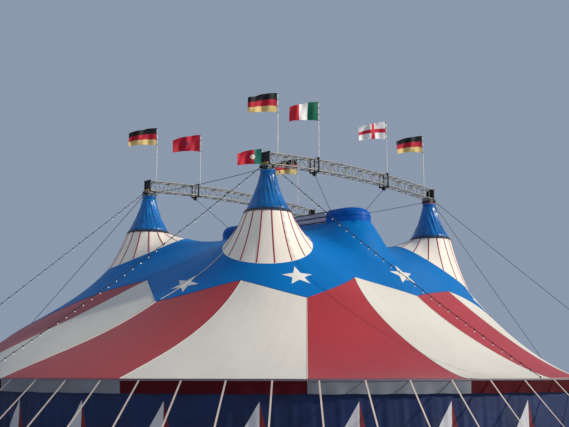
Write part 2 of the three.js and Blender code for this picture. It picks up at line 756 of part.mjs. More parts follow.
// Cupola: a blue drum at each end and a pale curtained ridge between them
function ridgeOutline(halfWidth, top, foot) {
  const shape = new THREE.Shape();
  shape.moveTo(-halfWidth * MM, foot * MM);
  shape.lineTo(halfWidth * MM, foot * MM);
  shape.lineTo(halfWidth * MM, (top - RIDGE_SHOULDER_DEPTH) * MM);
  const flat = (halfWidth - RIDGE_SHOULDER_REACH) * MM;
  shape.quadraticCurveTo(halfWidth * MM, top * MM, flat, top * MM);
  shape.lineTo(-flat, top * MM);
  shape.quadraticCurveTo(-halfWidth * MM, top * MM, -halfWidth * MM, (top - RIDGE_SHOULDER_DEPTH) * MM);
  shape.closePath();
  return shape;
}

function ridgePrism(shape, halfLength) {
  const settings = { depth: 2 * halfLength * MM, steps: 1, bevelEnabled: false, curveSegments: 4 };
  const prism = new THREE.ExtrudeGeometry(shape, settings).rotateX(Math.PI / 2);
  return toSolid(prism.translate(0, halfLength * MM, 0));
}

function cupolaRidge() {
  const halfLength = CUPOLA_HALF_LENGTH - CUPOLA_DRUM_LENGTH - SEAM_GAP;
  const halfWidth = CUPOLA_HALF_WIDTH - CUPOLA_RIDGE_INSET;
  const body = ridgeOutline(halfWidth, CUPOLA_BAND_TOP, CUPOLA_FOOT);
  // The room inside runs out through the open foot and both ends
  const room = ridgeOutline(halfWidth - CUPOLA_WALL, CUPOLA_BAND_TOP - CUPOLA_WALL, CUPOLA_FOOT - CUPOLA_WALL);
  const solid = ridgePrism(body, halfLength).subtract(ridgePrism(room, CUPOLA_HALF_LENGTH));
  return toGeometry(solid);
}

// A drum is a cap with a rounded outer end, open below
function cupolaDrum(side) {
  const centre = side * (CUPOLA_HALF_LENGTH - CUPOLA_HALF_WIDTH);
  const straightEnd = side * (CUPOLA_HALF_LENGTH - CUPOLA_DRUM_LENGTH);
  const outline = (shrink) => {
    const size = CUPOLA_HALF_WIDTH - shrink;
    const arc = drumOutline(size, side);
    const endY = straightEnd + side * Math.min(shrink, CUPOLA_WALL);
    const left = [-size, endY];
    const right = [size, endY];
    return side > 0 ? [...arc, left, right] : [...arc, right, left];
  };
  const column = (shrink, topDrop) => {
    const rows = outline(0).map(() => []);
    DRUM_RINGS.forEach(([inset, z], k) => {
      const drop = k === 0 ? 0 : topDrop;
      outline(inset + shrink).forEach(([x, y], i) => rows[i].push(v3(x, y, z - drop)));
    });
    const middle = v3(0, centre, CUPOLA_TOP - topDrop);
    rows.forEach((row) => row.push(middle.clone()));
    return rows;
  };
  return closedCap(column(0, 0), column(CUPOLA_WALL, CUPOLA_WALL));
}

// Rows of points that all end in one middle point, given a wall thickness
function closedCap(outerRows, innerRows) {
  const rows = outerRows.length;
  const columns = outerRows[0].length - 1;
  const count = rows * columns;
  const points = [
    ...outerRows.map((row) => row.slice(0, columns)).flat(),
    ...innerRows.map((row) => row.slice(0, columns)).flat(),
    outerRows[0][columns],
    innerRows[0][columns],
  ];
  const faces = [];
  const quad = (a, b, c, d) => faces.push(a, b, c, a, c, d);
  const at = (i, j) => (i % rows) * columns + j;
  const e = columns - 1;
  for (let i = 0; i < rows; i++) {
    for (let j = 0; j < e; j++) {
      quad(at(i, j), at(i + 1, j), at(i + 1, j + 1), at(i, j + 1));
      quad(count + at(i, j), count + at(i, j + 1), count + at(i + 1, j + 1), count + at(i + 1, j));
    }
    quad(at(i, 0), count + at(i, 0), count + at(i + 1, 0), at(i + 1, 0));
    faces.push(at(i, e), at(i + 1, e), 2 * count);
    faces.push(count + at(i, e), 2 * count + 1, count + at(i + 1, e));
  }
  const geometry = new THREE.BufferGeometry();
  const positions = points.flatMap((p) => [p.x * MM, p.y * MM, p.z * MM]);
  geometry.setAttribute("position", new THREE.Float32BufferAttribute(positions, 3));
  geometry.setIndex(faces);
  geometry.computeVertexNormals();
  return geometry;
}

add("cupola_ridge", cupolaRidge(), COLOURS.mauve);
add("cupola_drum_south", cupolaDrum(-1), COLOURS.blue);
add("cupola_drum_north", cupolaDrum(1), COLOURS.blue);

// Side wall in two arcs between the doorways, each with the side poles that hold up the eave
const WALL_STEP = 360 / SIDE_POLE_COUNT / 2;

function wallArc(from, to) {
  const steps = Math.round((to - from) / WALL_STEP);
  const outer = [];
  const inner = [];
  for (let i = 0; i <= steps; i++) {
    const angle = from + ((to - from) * i) / steps;
    const [ox, oy] = onEave(angle, WALL_RADIUS + WALL_THICKNESS / 2);
    const [ix, iy] = onEave(angle, WALL_RADIUS - WALL_THICKNESS / 2);
    outer.push([v3(ox, oy, WALL_TOP), v3(ox, oy, 0)]);
    inner.push([v3(ix, iy, WALL_TOP), v3(ix, iy, 0)]);
  }
  return shell(outer, inner);
}

function sidePoles(from, to) {
  const poles = [];
  for (let k = 0; k < 2 * SIDE_POLE_COUNT; k++) {
    const angle = (360 * k) / SIDE_POLE_COUNT;
    if (angle <= from || angle >= to) continue;
    const [x, y] = onEave(angle, WALL_RADIUS - SIDE_POLE_WIDTH / 2);
    const top = poleTop(x, y);
    poles.push(box(x, y, top / 2, SIDE_POLE_WIDTH, SIDE_POLE_WIDTH, top));
  }
  return poles;
}

// Height at which a pole meets the underside of the gores
const GORE_SOLIDS = parts.children.filter((m) => m.name.includes("gore")).map((m) => toSolid(m.geometry));

function poleTop(x, y) {
  const width = SIDE_POLE_WIDTH;
  const column = box(x, y, EAVE_HEIGHT, width, width, EAVE_HEIGHT);
  const met = GORE_SOLIDS.map((gore) => gore.intersect(column)).filter((solid) => !solid.isEmpty());
  return Math.min(...met.map((solid) => solid.boundingBox().min[2])) / MM - SEAT_GAP;
}

function wallSection(from, to) {
  return join([wallArc(from, to), ...sidePoles(from, to)]);
}

const DOOR_HALF_ANGLE = THREE.MathUtils.radToDeg(DOOR_WIDTH / 2 / WALL_RADIUS);
DOOR_ANGLES.forEach((door, i) => {
  const start = door + DOOR_HALF_ANGLE;
  const end = door + 180 - DOOR_HALF_ANGLE;
  add(i === 0 ? "wall_east" : "wall_west", wallSection(start, end), COLOURS.navy);
});

// Guy straps and stakes, carried by the webbing belt along the eave
const QUARTERS = 4;
const GUYS_PER_QUARTER = GUY_COUNT / QUARTERS;

// Angles of the corners of the gores' eave
const EAVE_ANGLES = SEAMS.flatMap((seam, i) => {
  const next = i === SEAMS.length - 1 ? SEAMS[0].eave + 360 : SEAMS[i + 1].eave;
  const steps = [];
  for (let k = 0; k < GORE_ACROSS; k++) steps.push(seam.eave + ((next - seam.eave) * k) / GORE_ACROSS);
  return steps;
});

function belt(from, to) {
  const inside = CANOPY_RADIUS + BELT_OFFSET;
  const top = EAVE_HEIGHT - BELT_DROP;
  const between = EAVE_ANGLES.flatMap((angle) => [angle - 360, angle]);
  const corners = between.filter((angle) => angle > from && angle < to).sort((a, b) => a - b);
  const outer = [];
  const inner = [];
  for (const angle of [from, ...corners, to]) {
    const [ix, iy] = onEave(angle, inside);
    const [ox, oy] = onEave(angle, inside + BELT_THICKNESS);
    outer.push([v3(ox, oy, top), v3(ox, oy, top - BELT_HEIGHT)]);
    inner.push([v3(ix, iy, top), v3(ix, iy, top - BELT_HEIGHT)]);
  }
  return shell(outer, inner);
}

// Distance of the belt's middle from the tent's centre, the belt being straight between corners
function beltRadius(angle) {
  const turn = ((angle % 360) + 360) % 360;
  const corners = EAVE_ANGLES.flatMap((a) => [a - 360, a]).sort((a, b) => a - b);
  const next = corners.findIndex((a) => a > turn);
  const middle = (corners[next - 1] + corners[next]) / 2;
  const half = (corners[next] - corners[next - 1]) / 2;
  const radius = CANOPY_RADIUS + BELT_OFFSET + BELT_THICKNESS / 2;
  return (radius * Math.cos(rad(half))) / Math.cos(rad(turn - middle));
}

function guy(angle) {
  const end = CANOPY_RADIUS + GUY_REACH;
  const [sx, sy] = onEave(angle, beltRadius(angle) + BELT_THICKNESS / 4);
  const [ex, ey] = onEave(angle, end);
  const top = EAVE_HEIGHT - BELT_DROP - BELT_HEIGHT / 2;
  return [
    bar(v3(sx, sy, top), v3(ex, ey, STRAP_FOOT_HEIGHT), GUY_WIDTH),
    box(ex, ey, STAKE_HEIGHT / 2, STAKE_WIDTH, STAKE_WIDTH, STAKE_HEIGHT),
  ];
}

const QUARTER_TURN = 360 / QUARTERS;
const inDoorway = (angle) => DOOR_ANGLES.some((door) => Math.abs(angle - door) < DOOR_HALF_ANGLE);

for (let q = 0; q < QUARTERS; q++) {
  const from = q * QUARTER_TURN;
  const margin = THREE.MathUtils.radToDeg(SEAM_GAP / CANOPY_RADIUS);
  const pieces = [belt(from + margin, from + QUARTER_TURN - margin)];
  for (let k = 0; k < GUYS_PER_QUARTER; k++) {
    const angle = from + ((k + 0.5) * QUARTER_TURN) / GUYS_PER_QUARTER;
    if (!inDoorway(angle)) pieces.push(...guy(angle));
  }
  add("guys_quarter_" + (q + 1), join(pieces), COLOURS.strap);
}

// Cables from the mast heads: festoon lines to the eave, stays to ground anchors, ties between heads
const CABLES = [
  { name: "stay_north_west_1", mast: 1, to: [-22.9, 10.0], ground: true },
  { name: "stay_south_east_1", mast: 2, to: [22.9, -6.7], ground: true },
  { name: "stay_north_west_2", mast: 1, to: [-12, 20.4], ground: true },
  { name: "stay_south_east_2", mast: 2, to: [12, -20.4], ground: true },
  { name: "festoon_south_west_3", mast: 0, to: onEave(172), ground: false },
  { name: "festoon_north_east_3", mast: 3, to: onEave(352), ground: false },
  { name: "festoon_south_west_4", mast: 0, to: onEave(259), ground: false },
  { name: "festoon_north_east_4", mast: 3, to: onEave(79), ground: false },
];

function lugBox(p) {
  return box(p.x, p.y, p.z, CABLE_LUG, CABLE_LUG, CABLE_LUG_HEIGHT);
}

function cable(mast, target, ground) {
  const start = mastHeadEdge(mast, target);
  const [tx, ty] = target;
  if (ground) {
    const foot = box(tx, ty, ANCHOR_HEIGHT / 2, ANCHOR_WIDTH, ANCHOR_WIDTH, ANCHOR_HEIGHT);
    return join([lugBox(start), bar(start, v3(tx, ty, ANCHOR_HEIGHT / 2), CABLE_WIDTH), foot]);
  }
  const reach = beltRadius(THREE.MathUtils.radToDeg(Math.atan2(ty, tx)));
  const along = v3(tx, ty, 0).normalize();
  const tangent = v3(-along.y, along.x, 0).multiplyScalar(EYE_LENGTH / 2);
  const base = EAVE_HEIGHT - BELT_DROP + SEAT_GAP;
  const eye = along.clone().multiplyScalar(reach).setZ(base + EYE_HEIGHT / 2);
  const eyeBar = bar(eye.clone().sub(tangent), eye.clone().add(tangent), EYE_WIDTH, EYE_HEIGHT);
  return join([lugBox(start), bar(start, eye, CABLE_WIDTH), eyeBar]);
}

function mastHeadEdge(mast, target) {
  const dx = target[0] - mast.x;
  const dy = target[1] - mast.y;
  const reach = HEAD_HALF_WIDTH + SEAT_GAP + CABLE_LUG / 2;
  const share = reach / Math.max(Math.abs(dx), Math.abs(dy));
  const z = HEAD_BASE + HEAD_DEPTH / 2;
  return v3(mast.x + dx * share, mast.y + dy * share, z);
}

CABLES.forEach(({ name, mast, to, ground }) => add(name, cable(MASTS[mast], to, ground), COLOURS.dark, 0.4));

for (const [low, high, name] of [[0, 1, "tie_west"], [2, 3, "tie_east"]]) {
  const from = mastHeadEdge(MASTS[low], [MASTS[high].x, MASTS[high].y]);
  const to = mastHeadEdge(MASTS[high], [MASTS[low].x, MASTS[low].y]);
  add(name, join([lugBox(from), bar(from, to, CABLE_WIDTH), lugBox(to)]), COLOURS.dark, 0.4);
}

export default parts;
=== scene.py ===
"""A four-mast circus big top at half size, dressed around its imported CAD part.

Sizes are real sizes in metres. HALF turns them into the model's metres when a mesh is made.
"""

import math

import bmesh
import bpy
import numpy as np
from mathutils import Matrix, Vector


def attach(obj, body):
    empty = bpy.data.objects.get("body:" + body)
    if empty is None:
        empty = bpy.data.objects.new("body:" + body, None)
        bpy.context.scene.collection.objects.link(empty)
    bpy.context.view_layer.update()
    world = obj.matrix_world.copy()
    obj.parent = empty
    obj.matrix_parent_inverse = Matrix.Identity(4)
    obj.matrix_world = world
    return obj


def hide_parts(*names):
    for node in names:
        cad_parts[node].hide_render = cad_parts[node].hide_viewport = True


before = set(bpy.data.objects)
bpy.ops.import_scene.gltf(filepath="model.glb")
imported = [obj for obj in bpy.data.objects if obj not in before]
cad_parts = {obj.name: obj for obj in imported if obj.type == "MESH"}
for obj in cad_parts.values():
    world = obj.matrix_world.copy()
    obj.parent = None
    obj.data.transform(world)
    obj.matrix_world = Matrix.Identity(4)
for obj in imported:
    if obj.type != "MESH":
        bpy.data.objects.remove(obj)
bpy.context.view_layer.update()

HALF = 0.5
TURN = 2 * math.pi

# Canopy
CANOPY_RADIUS = 19.0
EAVE_HEIGHT = 3.0
MAST_X = 7.1
MAST_Y = 5.2
MASTS = {
    "south_west": (-MAST_X, -MAST_Y),
    "north_west": (-MAST_X, MAST_Y),
    "south_east": (MAST_X, -MAST_Y),
    "north_east": (MAST_X, MAST_Y),
}
SIDES = {"south": -1, "north": 1}
RIM_LIFT = -1.6
SHOULDER_SAG = -1.7
SIDE_SAG = 6.2
SIDE_SAG_ANGLE = math.radians(135)
SWELL = 5.0
SWELL_ANGLE = math.radians(132)
SWELL_SHARPNESS = 14
PEAK_HEIGHT = 11.5
PEAK_RADIUS = 1.0
PEAK_CORE = 0.3
RIDGE_HEIGHT = 11.55
RIDGE_CAP = 0.1
RIDGE_HALF_LENGTH = 6.1
RIDGE_HALF_WIDTH = 1.0
RIDGE_FIT_PLACES = (-0.8, -0.4, 0, 0.4, 0.8)
RIDGE_SOURCES = 13
SKIRT_TOP = 11.8
SKIRT_REACH = 1.35
SKIRT_CURVE = 1.4
CLOTH = 0.012

# Seams of the shown half in plan. Each row has the corner on the crown's zigzag, the angle of the eave end,
# the seam's bow to its left half way down with how much more of it lies above than below, and the bow of the
# zigzag's next side to its left.
HALF_SEAMS = [
    ((-10.3, 0.8), 161.5, (0.5, -0.3), 0.0),
    ((-12.25, -2.55), 180.0, (0.7, -0.1), -0.19),
    ((-10.0, -6.4), 202.5, (0.25, 0.0), -0.22),
    ((-8.25, -9.1), 226.4, (0.0, 0.0), -0.27),
    ((-4.1, -8.55), 247.5, (0.2, -0.5), 0.0),
    ((-0.4, -9.7), 270.0, (0.7, -0.6), 0.0),
    ((4.0, -8.65), 292.5, (0.4, -0.4), 0.0),
    ((10.0, -9.5), 312.5, (0.0, 0.0), 0.0),
]
TURNED_SEAMS = [((-x, -y), angle + 180, bow, side) for (x, y), angle, bow, side in HALF_SEAMS[:-1]]
# The crown reaches further out here than at the last seam of the shown half
NORTH_WEST_SEAM = ((-13.5, 9.75), 500.0, (0.0, 0.0), 0.0)
SEAMS = HALF_SEAMS + TURNED_SEAMS + [NORTH_WEST_SEAM]

# Cones and hoods
CONE_RADIUS = 2.35
CONE_RIM_RADIUS = 1.25
HOOD_BASE_HEIGHT = 11.45
HOOD_TOP_HEIGHT = 13.75
HOOD_BASE_RADIUS = 1.27
HOOD_TOP_RADIUS = 0.41
HOOD_FLARE = 1.55
PIPING_COUNT = 16
PIPING_TURN = math.radians(10)

# Trusses
TRUSS_SPAN = 14.2
TRUSS_TOP = 14.7
TRUSS_DEPTH = 0.6
TRUSS_WIDTH = 0.5
TRUSS_RISE = 0.3
TRUSS_OVERHANG = 0.15
HEAD_HALF_WIDTH = 0.3
HEAD_SHARE = HEAD_HALF_WIDTH / TRUSS_SPAN
FLAGPOLE_PLACES = {"south": (0.05, 0.278, 0.705, 0.964), "north": (0.034, 0.278, 0.664, 0.908)}
FLAGPOLE_HEIGHT = 3.45
CLAMP_WIDTH = 0.66
CLAMP_BAR = 0.07
CLAMP_BLOCK = 0.22
CLAMP_RISE = 0.08
CLAMP_DROP = 0.1
CLAMP_PLACES = {"south": (0.253, 0.682), "north": (0.253, 0.64)}

# Cupola
CUPOLA_HALF_LENGTH = 5.95
CUPOLA_HALF_WIDTH = 1.12
CUPOLA_TOP = 12.65
CUPOLA_DRUM_LENGTH = 2.1
CUPOLA_FOOT = 10.45

# Wall, eave and guys
VALANCE_DROP = 0.6
WALL_RADIUS = 18.75
WALL_TOP = 2.86
DOOR_ANGLES = (326.25, 146.25)
DOOR_WIDTH = 3.0
SIDE_POLE_COUNT = 32
GUY_COUNT = 64
GUY_REACH = 3.0

# Camera, with the lens for a 36 mm wide picture
EYE = (-39.93, -39.43, 3.27)
EYE_YAW = math.radians(45.14)
EYE_PITCH = math.radians(9.78)
PICTURE_WIDTH_PX = 569
FOCAL_PX = 918.16
SENSOR_MM = 36
CLIP_END = 600


# Shape of the canopy

PEAK_FIT_STEP = 10
SLOPE_STEP = 0.05
NORMAL_STEP = 0.1
TINY = 1e-6


def source_lift(x, y, px, py):
    """Lift that one held-up point gives a sheet which is level along the eave circle."""
    distance = np.maximum(np.hypot(x - px, y - py), PEAK_CORE) / CANOPY_RADIUS
    offset = math.hypot(px, py) / CANOPY_RADIUS
    if offset < TINY:
        return -np.log(distance)
    image = np.hypot(x - px / offset**2, y - py / offset**2) / CANOPY_RADIUS * offset
    return np.log(image / distance)


def mast_lift(x, y):
    """Lift from the four masts."""
    return sum(source_lift(x, y, mx, my) for mx, my in MASTS.values())


def ridge_lift(x, y):
    """Lift from the ridge under the cupola."""
    places = np.linspace(-RIDGE_HALF_LENGTH, RIDGE_HALF_LENGTH, RIDGE_SOURCES)
    return sum(source_lift(x, y, 0, py) for py in places) / RIDGE_SOURCES


def cut_lift(x, y):
    """Lift from the cut of the cloth, which sags between the crown and the eave."""
    r = np.hypot(x, y) / CANOPY_RADIUS
    return (1 - r * r) * (RIM_LIFT + SHOULDER_SAG * r**3)


def side_lift(x, y):
    """Difference between the tent's sides: one hangs fuller than the other."""
    r = np.hypot(x, y) / CANOPY_RADIUS
    angle = np.arctan2(y, x)
    lean = SIDE_SAG * np.cos(angle - SIDE_SAG_ANGLE)
    swell = SWELL * np.maximum(0, np.cos(angle - SWELL_ANGLE)) ** SWELL_SHARPNESS
    return (lean + swell) * (1 - r * r) * r**4


def solve_strengths():
    """Strengths that bring the sheet to the cone tops and to the centre ridge."""
    turn = np.radians(np.arange(0, 360, PEAK_FIT_STEP))
    ring = (MAST_X + PEAK_RADIUS * np.cos(turn), MAST_Y + PEAK_RADIUS * np.sin(turn))
    places = np.array(RIDGE_FIT_PLACES) * RIDGE_HALF_LENGTH
    ridge = (np.full(len(places), RIDGE_HALF_WIDTH), places)
    table = [[np.mean(lift(*points)) for lift in (mast_lift, ridge_lift)] for points in (ring, ridge)]
    rise = [
        PEAK_HEIGHT - EAVE_HEIGHT - np.mean(cut_lift(*ring)),
        RIDGE_HEIGHT - EAVE_HEIGHT - np.mean(cut_lift(*ridge)),
    ]
    return np.linalg.solve(np.array(table), np.array(rise))


MAST_STRENGTH, RIDGE_STRENGTH = solve_strengths()


def cupola_distance(x, y):
    """How far a point in plan is outside the cupola's rounded outline."""
    straight = CUPOLA_HALF_LENGTH - CUPOLA_HALF_WIDTH
    return np.hypot(x, np.maximum(0, np.abs(y) - straight)) - CUPOLA_HALF_WIDTH


def sheet_height(x, y):
    """Height of the canopy, with the skirt that sweeps up to the cupola."""
    lift = MAST_STRENGTH * mast_lift(x, y) + RIDGE_STRENGTH * ridge_lift(x, y)
    height = EAVE_HEIGHT + lift + cut_lift(x, y) + side_lift(x, y)
    sheet = np.minimum(height, RIDGE_HEIGHT + RIDGE_CAP)
    near = np.clip(1 - cupola_distance(x, y) / SKIRT_REACH, 0, 1)
    return sheet + np.maximum(0, SKIRT_TOP - sheet) * near**SKIRT_CURVE


def on_sheet(x, y, lift=0.0):
    """Points on the sheet, raised along its normal."""
    x, y = np.asarray(x, float), np.asarray(y, float)
    z = sheet_height(x, y)
    slope_x = (sheet_height(x + SLOPE_STEP, y) - z) / SLOPE_STEP
    slope_y = (sheet_height(x, y + SLOPE_STEP) - z) / SLOPE_STEP
    size = np.sqrt(slope_x**2 + slope_y**2 + 1)
    return np.stack([x - lift * slope_x / size, y - lift * slope_y / size, z + lift / size], -1)


def sheet_run(x, y):
    """A run for ribbon() that lies on the canopy: its points and normals."""
    low, high = on_sheet(x, y), on_sheet(x, y, NORMAL_STEP)
    return low, (high - low) / NORMAL_STEP


def on_circle(angle, radius=CANOPY_RADIUS):
    """Plan point at an angle in degrees."""
    turn = np.radians(angle)
    return radius * np.cos(turn), radius * np.sin(turn)


def unit_wave(turn):
    """A sine wave between 0 and 1."""
    return 0.5 + 0.5 * np.sin(turn)


def bow_offset(start, end, bow, skew, t):
    """Sideways step in plan of a bowed line, to the left of its way from start to end."""
    dx, dy = end[0] - start[0], end[1] - start[1]
    away = (bow + 2 * skew * (1 - 2 * t)) * 4 * t * (1 - t) / math.hypot(dx, dy)
    return -dy * away, dx * away


def bowed_line(start, end, bow, skew, t):
    """Plan points of a bowed line between two places."""
    off = bow_offset(start, end, bow, skew, t)
    return [start[k] + (end[k] - start[k]) * t + off[k] for k in (0, 1)]


def seam_line(i, t):
    """Plan points down a seam, from the crown to the eave."""
    corner, angle, bow, _ = SEAMS[i]
    return bowed_line(corner, on_circle(angle), *bow, t)


def crown_side(i, t):
    """Plan points along one side of the crown's zigzag."""
    corner, _, _, bow = SEAMS[i]
    return bowed_line(corner, SEAMS[(i + 1) % len(SEAMS)][0], bow, 0, t)


# Meshes

SEAM_GAP = 1e-5
# A ribbon's edges stand this far off the sheet, and its flat top is this share of its width
RIBBON_GAP = 0.002
RIBBON_TOP = 0.7


def make_piece(name, points, faces, material, slot, node_names, smooth=True, uv=None):
    """A mesh piece from real-size points, riding on the tent and standing for its CAD nodes."""
    mesh = bpy.data.meshes.new(name)
    flat = np.asarray(points, float).reshape(-1, 3) * HALF
    mesh.from_pydata(flat.tolist(), [], [tuple(int(i) for i in f) for f in faces])
    mesh.validate()
    mesh.shade_smooth() if smooth else mesh.shade_flat()
    if uv is not None:
        layer = mesh.uv_layers.new(name="cloth")
        corner = np.zeros(len(mesh.loops), np.int32)
        mesh.loops.foreach_get("vertex_index", corner)
        layer.data.foreach_set("uv", np.asarray(uv, float).reshape(-1, 2)[corner].ravel())
    piece = bpy.data.objects.new(name, mesh)
    bpy.context.collection.objects.link(piece)
    mesh.materials.append(material)
    return settle(piece, node_names)


def settle(piece, node_names):
    """A piece that rides on the tent and the CAD nodes it stands for."""
    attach(piece, "root")
    if node_names:
        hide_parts(*node_names)
    return piece


def grid_faces(rows, columns, wrap=False):
    """Quads of a grid that is stored row by row; wrap joins the last row to the first."""
    i, j = np.meshgrid(np.arange(rows if wrap else rows - 1), np.arange(columns - 1), indexing="ij")
    a = i * columns + j
    b = ((i + 1) % rows) * columns + j
    return np.stack([a, b, b + 1, a + 1], -1).reshape(-1, 4)


def corners_and_normals(points, faces):
    """Corners of faces, and their normals from the first three corners of each."""
    q = np.asarray(points, float).reshape(-1, 3)[faces]
    return q, np.cross(q[:, 1] - q[:, 0], q[:, 2] - q[:, 0])


def facing(points, faces, centre):
    """The faces, turned round if most of them look towards the centre."""
    corners, normals = corners_and_normals(points, faces)
    outward = (normals * (corners.mean(1) - np.asarray(centre, float))).sum()
    return faces if outward > 0 else faces[:, ::-1]


def facing_along(points, faces, direction):
    """The faces, turned round if they look against a direction."""
    _, normals = corners_and_normals(points, faces)
    return faces if (normals.mean(0) * direction).sum() > 0 else faces[:, ::-1]


def skin(points, centre, wrap=False):
    """Faces of a grid of points, looking away from the centre."""
    return facing(points, grid_faces(*points.shape[:2], wrap), centre)


def grid_uv(points):
    """UV map of a grid: its rows from 0 to 1, and its columns from 0 to 1."""
    rows, columns = points.shape[:2]
    return np.stack(np.meshgrid(np.linspace(0, 1, rows), np.linspace(0, 1, columns), indexing="ij"), -1)


def close_seam(mesh):
    """Joins the points that lie on one another, where a grid closes on itself."""
    shape = bmesh.new()
    shape.from_mesh(mesh)
    bmesh.ops.remove_doubles(shape, verts=shape.verts, dist=SEAM_GAP)
    shape.to_mesh(mesh)
    shape.free()


def sharpen_border(mesh):
    """Keeps the shading of a cloth flat right up to its cut edges."""
    edge_of_corner = np.zeros(len(mesh.loops), np.int32)
    mesh.loops.foreach_get("edge_index", edge_of_corner)
    used = np.bincount(edge_of_corner, minlength=len(mesh.edges))
    sharp = mesh.attributes.new("sharp_edge", "BOOLEAN", "EDGE")
    sharp.data.foreach_set("value", used == 1)


def thicken(piece, thickness=CLOTH):
    """Real cloth thickness on the inner side."""
    sharpen_border(piece.data)
    shell = piece.modifiers.new("cloth", "SOLIDIFY")
    shell.thickness = thickness * HALF
    shell.offset = -1
    return piece


def ribbon(name, runs, width, material, slot, node_names, rise):
    """Flat webbing along runs of (points, normals), with a low crown in the middle."""
    points, faces, start = [], [], 0
    for line, normal in runs:
        side = np.cross(np.gradient(line, axis=0), normal)
        side /= np.linalg.norm(side, axis=1)[:, None]
        low, high = line + normal * RIBBON_GAP, line + normal * rise
        half = side * width / 2
        rows = np.stack([low - half, high - half * RIBBON_TOP, high + half * RIBBON_TOP, low + half], 1)
        points.append(rows.reshape(-1, 3))
        faces.append(facing_along(rows, grid_faces(len(line), 4), normal.mean(0)) + start)
        start += len(points[-1])
    return make_piece(name, np.concatenate(points), np.concatenate(faces), material, slot, node_names)


# Node trees

ROPE_SIDES = 6
ROD_SIDES = 8
POLE_SIDES = 12
STAKE_HEAD = 1.6
STAKE_HEAD_LEVEL = 0.93
BULB_HOLDER_SHARE = 0.9
BULB_DROP = -1.1


def put(tree, kind, values=None, **settings):
    """Adds a node, sets its properties, and fills its inputs with values or links."""
    node = tree.nodes.new(kind)
    for key, value in settings.items():
        setattr(node, key, value)
    for key, value in (values or {}).items():
        if isinstance(value, bpy.types.NodeSocket):
            tree.links.new(value, node.inputs[key])
        else:
            node.inputs[key].default_value = value
    return node


def reckon(tree, operation, *values):
    """The result of a sum or a test on one or two values."""
    return put(tree, "ShaderNodeMath", dict(enumerate(values)), operation=operation).outputs[0]


def sum_of(tree, a, b):
    return reckon(tree, "ADD", a, b)


def product(tree, a, b):
    return reckon(tree, "MULTIPLY", a, b)


def below(tree, a, b):
    return reckon(tree, "LESS_THAN", a, b)


def new_tree(name, sockets):
    """A geometry tree with named inputs of (name, socket type, default), and what comes in."""
    tree = bpy.data.node_groups.new(name, "GeometryNodeTree")
    tree.interface.new_socket(name="Geometry", in_out="INPUT", socket_type="NodeSocketGeometry")
    for label, kind, default in sockets:
        socket = tree.interface.new_socket(name=label, in_out="INPUT", socket_type=kind)
        if default is not None:
            socket.default_value = default
    tree.interface.new_socket(name="Geometry", in_out="OUTPUT", socket_type="NodeSocketGeometry")
    return tree, tree.nodes.new("NodeGroupInput").outputs


def painted(tree, shape, finish):
    """Real meshes of a shape, with their finish."""
    real = put(tree, "GeometryNodeRealizeInstances", {"Geometry": shape}).outputs["Geometry"]
    done = put(tree, "GeometryNodeSetMaterial", {"Geometry": real, "Material": finish})
    return done.outputs["Geometry"]


def joined(tree, shapes):
    """Shapes as one geometry."""
    whole = tree.nodes.new("GeometryNodeJoinGeometry")
    for shape in shapes:
        tree.links.new(shape, whole.inputs["Geometry"])
    return whole.outputs["Geometry"]


def raised(tree, shape, height):
    """A shape moved up by a height."""
    step = put(tree, "ShaderNodeCombineXYZ", {"Z": height}).outputs["Vector"]
    moved = put(tree, "GeometryNodeTransform", {"Geometry": shape, "Translation": step})
    return moved.outputs["Geometry"]


def at_points(tree, places, shape):
    """A shape repeated at every point."""
    many = put(tree, "GeometryNodeInstanceOnPoints", {"Points": places, "Instance": shape})
    return many.outputs["Instances"]


def end_tree(tree, shape):
    out = tree.nodes.new("NodeGroupOutput")
    tree.links.new(shape, out.inputs["Geometry"])
    return tree


def rod_tree():
    """Round rods along every chain of edges."""
    sockets = [
        ("Radius", "NodeSocketFloat", 0.01),
        ("Sides", "NodeSocketInt", ROD_SIDES),
        ("Finish", "NodeSocketMaterial", None),
    ]
    tree, given = new_tree("rods along edges", sockets)
    line = put(tree, "GeometryNodeMeshToCurve", {"Mesh": given["Geometry"]}).outputs["Curve"]
    circle = {"Radius": given["Radius"], "Resolution": given["Sides"]}
    profile = put(tree, "GeometryNodeCurvePrimitiveCircle", circle, mode="RADIUS").outputs["Curve"]
    tube = {"Curve": line, "Profile Curve": profile, "Fill Caps": True}
    rod = put(tree, "GeometryNodeCurveToMesh", tube).outputs["Mesh"]
    return end_tree(tree, painted(tree, rod, given["Finish"]))


def bulb_tree():
    """Bulbs in short holders, evenly spaced along every chain of edges."""
    sockets = [
        ("Spacing", "NodeSocketFloat", 0.25),
        ("Bulb radius", "NodeSocketFloat", 0.02),
        ("Holder height", "NodeSocketFloat", 0.03),
        ("Glass", "NodeSocketMaterial", None),
        ("Holder", "NodeSocketMaterial", None),
    ]
    tree, given = new_tree("bulbs along a wire", sockets)
    radius, height = given["Bulb radius"], given["Holder height"]
    line = put(tree, "GeometryNodeMeshToCurve", {"Mesh": given["Geometry"]}).outputs["Curve"]
    spacing = {"Curve": line, "Length": given["Spacing"]}
    places = put(tree, "GeometryNodeResampleCurve", spacing, mode="LENGTH").outputs["Curve"]
    ball = put(tree, "GeometryNodeMeshIcoSphere", {"Radius": radius, "Subdivisions": 2}).outputs["Mesh"]
    hung = raised(tree, ball, product(tree, height, BULB_DROP))
    width = product(tree, radius, BULB_HOLDER_SHARE)
    barrel = {"Vertices": ROD_SIDES, "Radius": width, "Depth": height}
    holder = put(tree, "GeometryNodeMeshCylinder", barrel).outputs["Mesh"]
    parts = ((hung, "Glass"), (holder, "Holder"))
    done = [painted(tree, at_points(tree, places, shape), given[finish]) for shape, finish in parts]
    return end_tree(tree, joined(tree, done))


